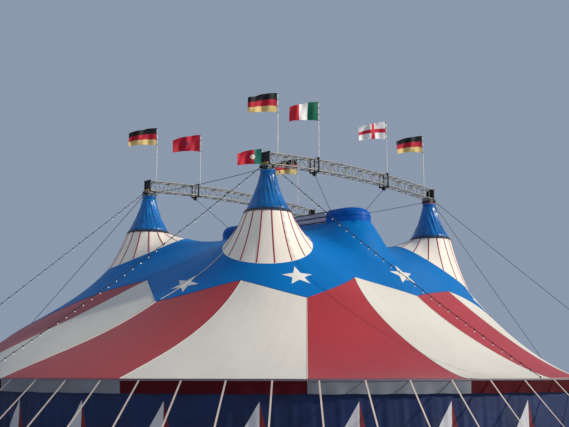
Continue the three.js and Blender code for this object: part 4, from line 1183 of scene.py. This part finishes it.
# Inset and height of each ring of a drum, from its foot over the shoulder to the middle of its top
DRUM_RINGS = (
    (0.0, CUPOLA_FOOT),
    (0.0, 11.0),
    (0.0, 11.5),
    (-0.01, 11.9),
    (0.0, 12.1),
    (0.015, 12.24),
    (0.05, 12.34),
    (0.11, 12.43),
    (0.2, 12.51),
    (0.32, 12.57),
    (0.48, 12.615),
    (0.7, 12.64),
    (0.95, CUPOLA_TOP),
    (CUPOLA_HALF_WIDTH, CUPOLA_TOP),
)
DRUM_ARC_STEPS = 96
DRUM_SIDE_STEPS = 8
DRUM_END_STEPS = 12
DRUM_RIPPLE = 0.006
DRUM_RIPPLE_COUNT = 15
DRUM_SHOULDER = 12.5
DRUM_ROPE_HEIGHT = 12.12
DRUM_ROPE_OFF = 0.008
DRUM_ROPE_RADIUS = 0.014

# Low and high edge of each layer of the cloth between the drums, and how a layer swells up its height
RIDGE_LAYERS = ((10.5, 11.6), (11.6, 11.88), (11.88, 12.17), (12.17, 12.44))
LAYER_SWELL = ((0.0, 0.0), (0.15, 0.03), (0.5, 0.045), (0.85, 0.02), (1.0, -0.05))
LAYER_INSET = 0.03
RIDGE_SIDE_INSET = 0.08
RIDGE_SHOULDER = 0.12
RIDGE_TOP_HEIGHTS = (12.49, 12.53, 12.54)
RIDGE_STEPS = 61
# Depth of the waves along the cloth, and how close they stand in its breadth and its height
RIDGE_WAVES = (0.012, 5.1, 3.3)
RIDGE_PIPING_RADIUS = 0.03
DRUM_GAP = 0.02


def drum_outline(size, side):
    """Rounded end and straight sides of a drum in plan, as a closed loop."""
    centre = side * (CUPOLA_HALF_LENGTH - CUPOLA_HALF_WIDTH)
    end = side * (CUPOLA_HALF_LENGTH - CUPOLA_DRUM_LENGTH)
    there = [k / DRUM_SIDE_STEPS for k in range(1, DRUM_SIDE_STEPS + 1)]
    arc = np.linspace(0, np.pi, DRUM_ARC_STEPS)
    loop = [(-size * math.cos(a), centre + side * size * math.sin(a)) for a in arc]
    loop += [(size, centre + (end - centre) * share) for share in there]
    loop += [(size - 2 * size * k / DRUM_END_STEPS, end) for k in range(1, DRUM_END_STEPS + 1)]
    loop += [(-size, end + (centre - end) * share) for share in there[:-1]]
    return np.array(loop)


def drum_ring(inset, z, side):
    """One ring of a drum, rippled below its shoulder."""
    loop = drum_outline(CUPOLA_HALF_WIDTH - inset, side)
    centre = np.array([0.0, side * (CUPOLA_HALF_LENGTH - CUPOLA_HALF_WIDTH)])
    turn = np.arctan2(loop[:, 1] - centre[1], loop[:, 0])
    ripple = DRUM_RIPPLE * unit_wave(turn * DRUM_RIPPLE_COUNT) * (z < DRUM_SHOULDER)
    loop = centre + (loop - centre) * (1 - ripple)[:, None]
    return np.column_stack([loop, np.full(len(loop), z)])


def dress_drum(side, name):
    """Blue drum: upright sides down into the canopy, a rounded shoulder and a flat top."""
    node = f"cupola_drum_{name}"
    points = np.stack([drum_ring(inset, z, side) for inset, z in DRUM_RINGS], 1)
    loop = drum_outline(CUPOLA_HALF_WIDTH + DRUM_ROPE_OFF, side)
    loop = np.concatenate([loop, loop[:1]])
    band = np.column_stack([loop, np.full(len(loop), DRUM_ROPE_HEIGHT)])
    rope = rods(f"{node}_ropes", [band], DRUM_ROPE_RADIUS, BLUE_HEM, [], sides=ROPE_SIDES)
    centre = (0, side * (CUPOLA_HALF_LENGTH - CUPOLA_HALF_WIDTH), CUPOLA_FOOT)
    faces, uv = skin(points, centre, wrap=True), grid_uv(points)
    drum = make_piece(f"{node}_cloth", points, faces, DRUM_CLOTH, "blue_fabric", [node], uv=uv)
    close_seam(drum.data)
    thicken(drum)


def ridge_profile(half):
    """Outline across the layered cloth, from one foot over the top to the other."""
    profile = []
    for low, high in RIDGE_LAYERS:
        profile += [(half + swell - LAYER_INSET, low + (high - low) * share) for share, swell in LAYER_SWELL]
    profile += zip((half - RIDGE_SHOULDER, half / 2, 0.0), RIDGE_TOP_HEIGHTS)
    return [(-x, z) for x, z in profile] + profile[-2::-1]


def dress_ridge():
    """Layered mauve cloth between the drums, with dark piping between the layers."""
    half = CUPOLA_HALF_WIDTH - RIDGE_SIDE_INSET
    end = CUPOLA_HALF_LENGTH - CUPOLA_DRUM_LENGTH - DRUM_GAP
    along = np.linspace(-end, end, RIDGE_STEPS)
    depth, breadth_wave, height_wave = RIDGE_WAVES
    profile = np.array(ridge_profile(half))
    x = profile[:, 0] * (1 - depth * np.cos(along * breadth_wave))[:, None]
    z = profile[:, 1] - depth * (np.sin(along * height_wave) ** 2)[:, None]
    points = np.stack([x, along[:, None] + 0 * x, z], -1)
    piping_x = half - DRUM_GAP
    lines = [[(side * piping_x, y, high) for y in along] for _, high in RIDGE_LAYERS for side in (-1, 1)]
    slot, node = "mauve_fabric", "cupola_ridge"
    piping = rods(f"{node}_piping", lines, RIDGE_PIPING_RADIUS, CURTAIN_DARK, [], sides=ROPE_SIDES)
    faces, uv = skin(points, centre=(0, 0, CUPOLA_FOOT)), grid_uv(points)[..., ::-1]
    ridge = make_piece(f"{node}_cloth", points, faces, CURTAIN_MAUVE, slot, [node], uv=uv)
    thicken(ridge)


# Trusses and flagpoles

TRUSS_BAYS = 22
TRUSS_ENDS = (-TRUSS_OVERHANG / TRUSS_SPAN, 1 + TRUSS_OVERHANG / TRUSS_SPAN)
CHORD_RADIUS = 0.036
LACING_RADIUS = 0.017
END_BAR = 0.09
END_PLATE = 0.04
HANGER_RADIUS = 0.014
HANGER_FOOT_Y = 4.35
HANGER_FOOT_HEIGHT = 12.2
POLE_RADIUS = 0.028
POLE_FOOT = 0.04
POLE_EXTRA = 0.05
BEVEL = 0.012
# Parts of the block under a clamp: how far down it hangs and its size, as shares of the block
BLOCK_PARTS = ((0.4, (0.8, 1.0, 0.7)), (0.85, (0.5, 0.5, 0.25)))
# Yellow clamps on the mast heads: way out from the mast, height over the truss's foot, and size
YELLOW_CLAMPS = ((0.24, 0.02, (0.1, 0.5, 0.05)), (-0.3, 0.05, (0.07, 0.36, 0.05)))
BOX_QUADS = ((0, 1, 3, 2), (4, 6, 7, 5), (0, 4, 5, 1), (2, 3, 7, 6), (0, 2, 6, 4), (1, 5, 7, 3))


def truss_point(side, place, across, down):
    """Point of a slightly arched truss, at a share of its span."""
    arch = TRUSS_RISE * 4 * max(0.0, (place - HEAD_SHARE) * (1 - HEAD_SHARE - place))
    return ((place - 0.5) * TRUSS_SPAN, side * MAST_Y + across, TRUSS_TOP + arch - down)


def boxes(name, parts, material, slot, node_names):
    """Boxes of (centre, size) with rounded edges, as one piece."""
    points, faces = [], []
    for centre, size in parts:
        start = len(points)
        signs = [(i, j, k) for i in (-1, 1) for j in (-1, 1) for k in (-1, 1)]
        points += [[centre[a] + sign[a] * size[a] / 2 for a in range(3)] for sign in signs]
        faces += [tuple(start + i for i in quad) for quad in BOX_QUADS]
    piece = make_piece(name, points, faces, material, slot, node_names, smooth=False)
    round_edges = piece.modifiers.new("edges", "BEVEL")
    round_edges.width = BEVEL * HALF
    round_edges.segments = 2
    return piece


def truss_runs(side):
    """Chords and lacing of a box truss, as runs of points."""
    half = TRUSS_WIDTH / 2
    inner = list(np.linspace(HEAD_SHARE, 1 - HEAD_SHARE, TRUSS_BAYS + 1))
    places = [TRUSS_ENDS[0], *inner, TRUSS_ENDS[1]]
    corners = ((-half, 0), (half, 0), (half, TRUSS_DEPTH), (-half, TRUSS_DEPTH))
    rows = [(across, down) for across in (-half, half) for down in (0, TRUSS_DEPTH)]
    chords = [[truss_point(side, p, across, down) for p in places] for across, down in rows]
    lacing = []
    for i, place in enumerate(inner):
        frame_corners = [truss_point(side, place, across, down) for across, down in corners]
        lacing += [[frame_corners[k], frame_corners[(k + 1) % 4]] for k in range(4)]
        if i == TRUSS_BAYS:
            continue
        after = places[i + 2]
        low, high = (TRUSS_DEPTH, 0) if i % 2 else (0, TRUSS_DEPTH)
        sign = 1 if i % 2 else -1
        bays = [(across, low, across, high) for across in (-half, half)]
        bays += [(-half * sign, down, half * sign, down) for down in (0, TRUSS_DEPTH)]
        lacing += [[truss_point(side, place, *bay[:2]), truss_point(side, after, *bay[2:])] for bay in bays]
    return chords, lacing


def clamp_boxes(side, place):
    """Black frame round the truss, with the block under it."""
    x, y, z = truss_point(side, place, 0, 0)
    half, rise, drop = CLAMP_WIDTH / 2, CLAMP_RISE, TRUSS_DEPTH + CLAMP_DROP
    middle, tall = z + (rise - drop) / 2, rise + drop + CLAMP_BAR
    uprights = [((x, y + dy, middle), (CLAMP_BAR, CLAMP_BAR, tall)) for dy in (-half, 0, half)]
    bars = [((x, y, level), (CLAMP_BAR, 2 * half + CLAMP_BAR, CLAMP_BAR)) for level in (z + rise, z - drop)]
    block = [
        ((x, y, z - drop - CLAMP_BLOCK * down), [CLAMP_BLOCK * share for share in shares])
        for down, shares in BLOCK_PARTS
    ]
    return uprights + bars + block


def end_boxes(side, place):
    """Black end frame of a truss, with the plate in it."""
    x, y, z = truss_point(side, place, 0, TRUSS_DEPTH / 2)
    half, half_depth = TRUSS_WIDTH / 2, TRUSS_DEPTH / 2
    uprights = [((x, y + off, z), (END_BAR, END_BAR, TRUSS_DEPTH + END_BAR)) for off in (-half, half)]
    bars = [((x, y, z + off), (END_BAR, TRUSS_WIDTH + END_BAR, END_BAR)) for off in (-half_depth, half_depth)]
    return uprights + bars + [((x, y, z), (END_PLATE, TRUSS_WIDTH, TRUSS_DEPTH))]


def dress_truss(side, name):
    """A truss with its end frames, clamps, hangers, flagpoles and the clamps on the mast heads."""
    node, slot = f"truss_{name}", "truss_aluminium"
    chords, lacing = truss_runs(side)
    rods(f"{node}_chords", chords, CHORD_RADIUS, TRUSS_METAL, [node], sides=POLE_SIDES)
    rods(f"{node}_lacing", lacing, LACING_RADIUS, TRUSS_METAL, [node])
    ends = [box for place in TRUSS_ENDS for box in end_boxes(side, place)]
    boxes(f"{node}_end_frames", ends, BLACK_STEEL, slot, [node])
    clamps = [box for place in CLAMP_PLACES[name] for box in clamp_boxes(side, place)]
    boxes(f"{node}_clamps", clamps, BLACK_STEEL, slot, [node])
    hangers = []
    for place in CLAMP_PLACES[name]:
        top = truss_point(side, place, 0, TRUSS_DEPTH + CLAMP_DROP + CLAMP_BLOCK / 2)
        foot_x = math.copysign(CUPOLA_HALF_WIDTH + DRUM_GAP, top[0])
        hangers.append([top, (foot_x, side * HANGER_FOOT_Y, HANGER_FOOT_HEIGHT)])
    rods(f"{node}_hangers", hangers, HANGER_RADIUS, CABLE_STEEL, [node])
    feet = [truss_point(side, place, 0, POLE_FOOT) for place in FLAGPOLE_PLACES[name]]
    poles = [[(x, y, z), (x, y, z + POLE_EXTRA + FLAGPOLE_HEIGHT)] for x, y, z in feet]
    rods(f"flagpoles_{name}", poles, POLE_RADIUS, POLE_PAINT, [node], sides=POLE_SIDES)
    level = TRUSS_TOP - TRUSS_DEPTH
    yellow = [
        ((x + math.copysign(1, x) * out, side * MAST_Y, level + rise), size)
        for x in (-MAST_X, MAST_X)
        for out, rise, size in YELLOW_CLAMPS
    ]
    boxes(f"{node}_yellow_clamps", yellow, YELLOW_PAINT, slot, [node])


# Flags

FLAG_AZIMUTH = math.radians(150)
FLAG_LENGTH = 1.68
FLAG_HEIGHT = 1.1
FLAG_DROOP = 0.42
FLAG_DROOP_CURVE = 1.5
FLAG_TAPER = 0.24
FLAG_ACROSS = 49
FLAG_ALONG = 29
FLAG_CLOTH = 0.006
FLAG_POLE_GAP = 0.045
FLAG_POLE_TIP = 0.03
# Depth of each rolling wave, how close it stands along and down the flag, and how its seed shifts it
FLAG_ROLLS = ((0.085, 9.5, 1.4, 1), (0.03, 19, -3, 2))
FLAG_ROLL_START = 3
FLAG_GATHER = (0.04, 7)
FLAG_RIPPLE = (0.03, 12)
FLAG_SEED_STEP = 1.3
HOOP_INSET = 0.03
HOOP_PLACES = (HOOP_INSET, FLAG_HEIGHT / 3, 2 * FLAG_HEIGHT / 3, FLAG_HEIGHT - HOOP_INSET)
HOOP_RADIUS = 0.055
HOOP_WIRE = 0.01
HOOP_STEPS = 17


def flag_grid(x, y, top, seed):
    """Points of a flag blown from its pole in rolling waves, tapering as its fly end droops."""
    u, v = np.meshgrid(np.linspace(0, 1, FLAG_ACROSS), np.linspace(0, 1, FLAG_ALONG), indexing="ij")
    rolls = (depth * np.sin(u * out + v * down + seed * shift) for depth, out, down, shift in FLAG_ROLLS)
    swing = sum(rolls) * np.minimum(1, FLAG_ROLL_START * u)
    shorten = 1 - FLAG_GATHER[0] * np.cos(u * FLAG_GATHER[1] + seed)
    along = FLAG_POLE_GAP + FLAG_LENGTH * u * shorten
    ripple = FLAG_RIPPLE[0] * np.sin(u * FLAG_RIPPLE[1] + seed) * u
    drop = FLAG_DROOP * u**FLAG_DROOP_CURVE + FLAG_HEIGHT * (1 - FLAG_TAPER * u) * v + ripple
    points = [
        x + along * math.cos(FLAG_AZIMUTH) - swing * math.sin(FLAG_AZIMUTH),
        y + along * math.sin(FLAG_AZIMUTH) + swing * math.cos(FLAG_AZIMUTH),
        top - drop,
    ]
    return np.stack(points, -1)


def dress_flag(side, place, name, number, material):
    """A flag and the hoops that hold it to its pole."""
    x, y, z = truss_point(side, place, 0, 0)
    top = z + FLAGPOLE_HEIGHT - FLAG_POLE_TIP
    node, slot = f"flag_{name}_{number + 1}", "flag_cloth"
    turn = np.linspace(0, TURN, HOOP_STEPS)
    rings = [round_place((x, y), HOOP_RADIUS, turn, np.full(HOOP_STEPS, top - down)) for down in HOOP_PLACES]
    hoops = rods(f"{node}_hoops", rings, HOOP_WIRE, CABLE_STEEL, [], sides=ROPE_SIDES)
    points = flag_grid(x, y, top, number * FLAG_SEED_STEP + side)
    faces, uv = grid_faces(*points.shape[:2]), grid_uv(points)
    flag = make_piece(f"{node}_cloth", points, faces, material, slot, [node], uv=uv)
    thicken(flag, FLAG_CLOTH)


def dress_flags():
    """The flags on both trusses, each with its own cloth."""
    black_red_gold = flag_cloth("flag of black, red and gold bands", ["141619", "b81a30", "dcc07c"])
    green_white_red = flag_cloth("flag of green, white and red bands", ["0f6b4c", "eeeae4", "cf2b36"], True)
    red_cross = flag_cloth("white flag with a red cross", ["ece9e6"], emblem=cross("c9253a"))
    red_disc = flag_cloth("red flag with a dark disc", ["b3152f"], True, disc("6d1f3a", 0.5, 0.13))
    two_thirds_red = ["0f6f5c", "c81f33", "c81f33"]
    pale_disc = disc("e9dccb", 0.4, 0.16)
    green_red = flag_cloth("green and red flag with a pale disc", two_thirds_red, True, pale_disc)
    plan = {
        "south": (black_red_gold, green_white_red, red_cross, black_red_gold),
        "north": (black_red_gold, red_disc, green_red, black_red_gold),
    }
    for name, side in SIDES.items():
        for number, (place, material) in enumerate(zip(FLAGPOLE_PLACES[name], plan[name])):
            dress_flag(side, place, name, number, material)


# Mast heads, with the height of each collar over the hood's top and its size

MAST_COLLARS = ((0.15, (0.64, 0.64, 0.1)), (0.27, (0.56, 0.66, 0.06)))
MAST_BAND = (0.05, (0.63, 0.63, 0.06))


def dress_mast_heads():
    """Collars on the mast heads; the CAD masts themselves get a painted finish."""
    for name, (x, y) in MASTS.items():
        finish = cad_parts[f"mast_{name}"].data.materials
        finish.clear()
        finish.append(MAST_STEEL)
        collars = [((x, y, HOOD_TOP_HEIGHT + rise), size) for rise, size in MAST_COLLARS]
        boxes(f"mast_collar_{name}", collars, BLACK_STEEL, "galvanised_steel", [])
        band = [((x, y, HOOD_TOP_HEIGHT + MAST_BAND[0]), MAST_BAND[1])]
        boxes(f"mast_band_{name}", band, RED_PAINT if x > 0 else BLACK_STEEL, "galvanised_steel", [])


# Side wall

WALL_ACROSS = 721
WALL_ALONG = 15
WALL_FOOT = 0.01
WALL_PROUD = 0.02
# Depth of the wall's folds, how many stand round the tent, where they start, and how they lean
WALL_SWAY = ((0.018, 180, 0.0, 0), (0.02, 67, 1.0, 0), (0.012, 311, 0.0, 2))
SWAY_FADE = 1.15
SWAY_LEAST = 0.2
# How many spikes the UV map starts before the first one, so that it never falls below zero
SPIKES_BEFORE = 40
SIDE_POLE_RADIUS = 0.04
SIDE_POLE_INSET = 0.06
TOP_ROPE_RADIUS = 0.02
TOP_ROPE_DROP = 0.02
TOP_ROPE_STEPS = 300
HALF_DOOR = math.degrees(DOOR_WIDTH / 2 / WALL_RADIUS)


def wall_grid(first, last):
    """Points of the hung wall with its soft folds, and its UV map in metres."""
    a, v = np.meshgrid(
        np.linspace(first, last, WALL_ACROSS), np.linspace(0, 1, WALL_ALONG), indexing="ij"
    )
    turn = np.radians(a)
    sway = sum(depth * np.sin(turn * count + start + v * lean) for depth, count, start, lean in WALL_SWAY)
    calm = np.clip(SWAY_FADE - v, SWAY_LEAST, 1)
    x, y = on_circle(a, WALL_RADIUS + WALL_PROUD + sway * calm)
    z = WALL_FOOT + (WALL_TOP - WALL_FOOT) * v
    metres = (turn - math.radians(SPIKE_FIRST)) * WALL_RADIUS
    before = SPIKES_BEFORE * (math.radians(SPIKE_STEP) * WALL_RADIUS)
    return np.stack([x, y, z], -1), np.stack([metres + before, z], -1)


def side_poles(first, last):
    """Runs of the poles that stand between two angles, up to just under the canopy."""
    poles = []
    for k in range(2 * SIDE_POLE_COUNT):
        angle = 360 * k / SIDE_POLE_COUNT
        if first < angle < last:
            x, y = on_circle(angle, WALL_RADIUS - SIDE_POLE_INSET)
            poles.append([(x, y, 0.0), (x, y, float(sheet_height(x, y)) - SIDE_POLE_INSET)])
    return poles


def dress_wall(door, node):
    """The half of the wall that starts at a doorway, with its poles and top rope."""
    first, last = door + HALF_DOOR, door + 180 - HALF_DOOR
    points, uv = wall_grid(first, last)
    faces = skin(points, centre=(0, 0, 0))
    wall = thicken(make_piece(f"{node}_cloth", points, faces, WALL_CLOTH, "navy_fabric", [node], uv=uv))
    poles, slot = side_poles(first, last), "galvanised_steel"
    rods(f"{node}_side_poles", poles, SIDE_POLE_RADIUS, MAST_STEEL, [node], sides=POLE_SIDES)
    rope_angles = np.linspace(first, last, TOP_ROPE_STEPS)
    rope = [(*on_circle(angle, WALL_RADIUS), WALL_TOP - TOP_ROPE_DROP) for angle in rope_angles]
    rods(f"{node}_top_rope", [rope], TOP_ROPE_RADIUS, STRAP_CLOTH, [], sides=ROPE_SIDES)


# Eave belt, straps and stakes

QUARTER = 90
BELT_TOP = 2.99
BELT_HEIGHT = 0.1
BELT_PROUD = 0.02
BELT_STEPS = 181
BELT_END = 0.02
WEBBING_HEIGHT = BELT_HEIGHT * 0.6
WEBBING_RISE = 0.012
STRAP_FOOT_HEIGHT = 0.26
STRAP_WIDTH = 0.07
STRAP_THICKNESS = 0.012
STRAP_STEPS = 14
STRAP_TWIST = 25
RATCHET_PLACE = 0.72
RATCHET_SIZE = (0.1, 0.1, 0.13)
STAKE_RADIUS = 0.03
STAKE_HEIGHT = 0.55


def guy_angles(quarter):
    """Angles of a quarter's straps, with none in front of a doorway."""
    per_quarter = GUY_COUNT // 4
    angles = [quarter * QUARTER + (k + 0.5) * QUARTER / per_quarter for k in range(per_quarter)]
    return [angle for angle in angles if all(abs(angle - door) >= HALF_DOOR for door in DOOR_ANGLES)]


def strap_ends(angle):
    """Where a strap leaves the eave belt, and where it meets its stake."""
    top = np.array([*on_circle(angle, CANOPY_RADIUS + BELT_PROUD), BELT_TOP - BELT_HEIGHT / 2])
    foot = np.array([*on_circle(angle, CANOPY_RADIUS + GUY_REACH), STRAP_FOOT_HEIGHT])
    return top, foot


def strap_mesh(top, foot):
    """A flat strap from the eave belt to its stake, which twists on the way down."""
    ahead = (foot - top) / np.linalg.norm(foot - top)
    flat = np.cross(ahead, (0, 0, 1))
    flat /= np.linalg.norm(flat)
    up = np.cross(flat, ahead)
    points, faces = [], []
    for i in range(STRAP_STEPS + 1):
        t = i / STRAP_STEPS
        turn = math.radians(STRAP_TWIST * t)
        side = flat * math.cos(turn) + up * math.sin(turn)
        off = -flat * math.sin(turn) + up * math.cos(turn)
        middle = top + (foot - top) * t
        for a, b in ((-1, -1), (1, -1), (1, 1), (-1, 1)):
            points.append(middle + side * a * STRAP_WIDTH / 2 + off * b * STRAP_THICKNESS / 2)
    for i in range(STRAP_STEPS):
        for k in range(4):
            a, b = i * 4 + k, i * 4 + (k + 1) % 4
            faces.append((a, b, b + 4, a + 4))
    last = STRAP_STEPS * 4
    return points, faces + [(0, 3, 2, 1), (last, last + 1, last + 2, last + 3)]


def dress_guys(quarter):
    """A quarter of the eave belt with its straps, ratchets and stakes."""
    node, slot, number = f"guys_quarter_{quarter + 1}", "strap_webbing", quarter + 1
    turn = np.linspace(quarter * QUARTER + BELT_END, (quarter + 1) * QUARTER - BELT_END, BELT_STEPS)
    level = np.full(BELT_STEPS, BELT_TOP - BELT_HEIGHT / 2)
    run = np.stack([*on_circle(turn, CANOPY_RADIUS + BELT_PROUD), level], -1)
    out = np.stack([*on_circle(turn, 1), np.zeros(BELT_STEPS)], -1)
    ribbon(f"eave_webbing_{number}", [(run, out)], WEBBING_HEIGHT, BELT_CLOTH, slot, [node], WEBBING_RISE)
    points, faces, ratchets, feet = [], [], [], []
    for angle in guy_angles(quarter):
        top, foot = strap_ends(angle)
        more, quads = strap_mesh(top, foot)
        faces += [tuple(len(points) + i for i in quad) for quad in quads]
        points += more
        ratchets.append((tuple(top + (foot - top) * RATCHET_PLACE), RATCHET_SIZE))
        feet.append([(*foot[:2], 0.0)])
    make_piece(f"guy_straps_{number}", points, faces, STRAP_CLOTH, slot, [node], smooth=False)
    boxes(f"strap_ratchets_{number}", ratchets, CABLE_STEEL, slot, [node])
    source = wire_source(f"stake_places_{number}", feet)
    values = {"Radius": STAKE_RADIUS * HALF, "Height": STAKE_HEIGHT * HALF, "Finish": STAKE_STEEL}
    apply_tree(source, STAKES, f"stakes_{number}", values, [node])


# Stays, strings of lights and ties

CABLE_DROP = 0.175
CABLE_RADIUS = 0.016
CABLE_STEPS = 40
STAY_SAG = 0.05
FESTOON_SAG = 0.3
TIE_SAG = 0.1
BULB_SPACING = 0.5
BULB_RADIUS = 0.032
BULB_HOLDER_HEIGHT = 0.085
ANCHOR_HEIGHT = 0.25
ANCHOR_BOXES = ((0.09, (0.3, 0.3, 0.18)), (0.2, (0.1, 0.1, 0.1)))
LUG_SIZE = (0.1, 0.1, 0.14)
LUG_OUT = 0.03
CANOPY_LUG_RISE = 0.04
# Node, mast, place of the low end in plan, whether it goes to the ground, and whether it carries bulbs
CABLES = (
    ("stay_north_west_1", "north_west", (-22.9, 10.0), True, True),
    ("stay_south_east_1", "south_east", (22.9, -6.7), True, False),
    ("stay_north_west_2", "north_west", (-12.0, 20.4), True, False),
    ("stay_south_east_2", "south_east", (12.0, -20.4), True, False),
    ("festoon_south_west_3", "south_west", on_circle(172), False, True),
    ("festoon_north_east_3", "north_east", on_circle(352), False, True),
    ("festoon_south_west_4", "south_west", on_circle(259), False, True),
    ("festoon_north_east_4", "north_east", on_circle(79), False, True),
)
TIES = (("south_west", "north_west", "tie_west"), ("south_east", "north_east", "tie_east"))


def head_point(mast, target):
    """Where a cable to a target leaves a mast head."""
    dx, dy = target[0] - mast[0], target[1] - mast[1]
    share = (HEAD_HALF_WIDTH + LUG_OUT) / max(abs(dx), abs(dy))
    return (mast[0] + dx * share, mast[1] + dy * share, TRUSS_TOP - TRUSS_DEPTH - CABLE_DROP)


def taut_run(start, end, sag):
    """A taut line with the slight sag of its own weight."""
    t = np.linspace(0, 1, CABLE_STEPS + 1)[:, None]
    line = np.array(start) + (np.array(end) - np.array(start)) * t
    line[:, 2] -= sag * 4 * (t * (1 - t)).ravel()
    return [tuple(p) for p in line]


def dress_cable(node, mast_name, target, ground, lit):
    """A stay or a string of lights, from a mast head to the ground or to the canopy's edge."""
    slot = "steel_cable"
    start = head_point(MASTS[mast_name], target)
    end = (*target, ANCHOR_HEIGHT / 2 if ground else EAVE_HEIGHT + CANOPY_LUG_RISE)
    run = taut_run(start, end, STAY_SAG if ground else FESTOON_SAG)
    rods(f"{node}_line", [run], CABLE_RADIUS, CABLE_STEEL, [node], sides=ROPE_SIDES)
    if lit:
        source = wire_source(f"{node}_bulb_wire", [run])
        values = {
            "Spacing": BULB_SPACING * HALF,
            "Bulb radius": BULB_RADIUS * HALF,
            "Holder height": BULB_HOLDER_HEIGHT * HALF,
            "Glass": BULB_GLASS,
            "Holder": BULB_HOLDER,
        }
        apply_tree(source, BULBS, f"{node}_bulbs", values, [node])
    if ground:
        anchor = [((*target, z), size) for z, size in ANCHOR_BOXES]
        boxes(f"{node}_anchor", anchor, STAKE_STEEL, slot, [node])
    boxes(f"{node}_lug", [(start, LUG_SIZE)], BLACK_STEEL, slot, [node])


def dress_cables():
    """Stays, strings of lights, and the tie between the two masts of each end."""
    for cable in CABLES:
        dress_cable(*cable)
    for one, other, node in TIES:
        run = taut_run(head_point(MASTS[one], MASTS[other]), head_point(MASTS[other], MASTS[one]), TIE_SAG)
        rods(f"{node}_line", [run], CABLE_RADIUS, CABLE_STEEL, [node], sides=ROPE_SIDES)


# Stage, light and camera

FLOOR_SIZE = 900
FLOOR_COLOUR = (0.78, 0.78, 0.78, 1)
FLOOR_ROUGHNESS = 0.9
SUN_ENERGY = 3.25
SUN_SPREAD = math.radians(3)
SUN_COLOUR = (1.0, 0.95, 0.88)
SUN_DIRECTION = (0.5, -0.76, 0.42)
SKY_COLOUR = (0.62, 0.76, 1.0, 1)
SKY_STRENGTH = 0.42


def make_stage():
    """A wide pale floor."""
    bpy.ops.mesh.primitive_plane_add(size=FLOOR_SIZE)
    floor = bpy.context.object
    floor.name = "floor"
    material = bpy.data.materials.new("pale floor")
    material.use_nodes = True
    shader = material.node_tree.nodes["Principled BSDF"].inputs
    shader["Base Color"].default_value = FLOOR_COLOUR
    shader["Roughness"].default_value = FLOOR_ROUGHNESS
    floor.data.materials.append(material)


def make_light():
    """A low sun and a pale sky, without the view transform that washes out the strong colours."""
    sun = bpy.data.lights.new("low sun", "SUN")
    sun.energy = SUN_ENERGY
    sun.angle = SUN_SPREAD
    sun.color = SUN_COLOUR
    lamp = bpy.data.objects.new("low sun", sun)
    bpy.context.collection.objects.link(lamp)
    lamp.rotation_euler = Vector(SUN_DIRECTION).to_track_quat("Z", "Y").to_euler()
    world = bpy.data.worlds.new("soft studio")
    world.use_nodes = True
    sky = world.node_tree.nodes["Background"].inputs
    sky["Color"].default_value = SKY_COLOUR
    sky["Strength"].default_value = SKY_STRENGTH
    bpy.context.scene.world = world
    bpy.context.scene.view_settings.view_transform = "Standard"


def make_camera():
    """The camera that took the photo, at half size."""
    camera = bpy.data.cameras.new("photo view")
    camera.sensor_width = SENSOR_MM
    camera.lens = FOCAL_PX / PICTURE_WIDTH_PX * SENSOR_MM
    camera.clip_end = CLIP_END
    holder = bpy.data.objects.new("photo view", camera)
    bpy.context.collection.objects.link(holder)
    holder.location = Vector(EYE) * HALF
    level = math.cos(EYE_PITCH)
    ahead = Vector((math.cos(EYE_YAW) * level, math.sin(EYE_YAW) * level, math.sin(EYE_PITCH)))
    holder.rotation_euler = ahead.to_track_quat("-Z", "Y").to_euler()
    bpy.context.scene.camera = holder


make_stage()
make_light()
make_camera()
dress_gores()
dress_seams()
dress_crown()
for order, (mast_name, mast_place) in enumerate(MASTS.items()):
    dress_cone(mast_name, mast_place)
    dress_hood(mast_name, mast_place, order + 1)
for side_name, side_sign in SIDES.items():
    dress_drum(side_sign, side_name)
dress_ridge()
for side_name, side_sign in SIDES.items():
    dress_truss(side_sign, side_name)
dress_flags()
dress_mast_heads()
dress_wall(DOOR_ANGLES[0], "wall_east")
dress_wall(DOOR_ANGLES[1], "wall_west")
for quarter_number in range(4):
    dress_guys(quarter_number)
dress_cables()
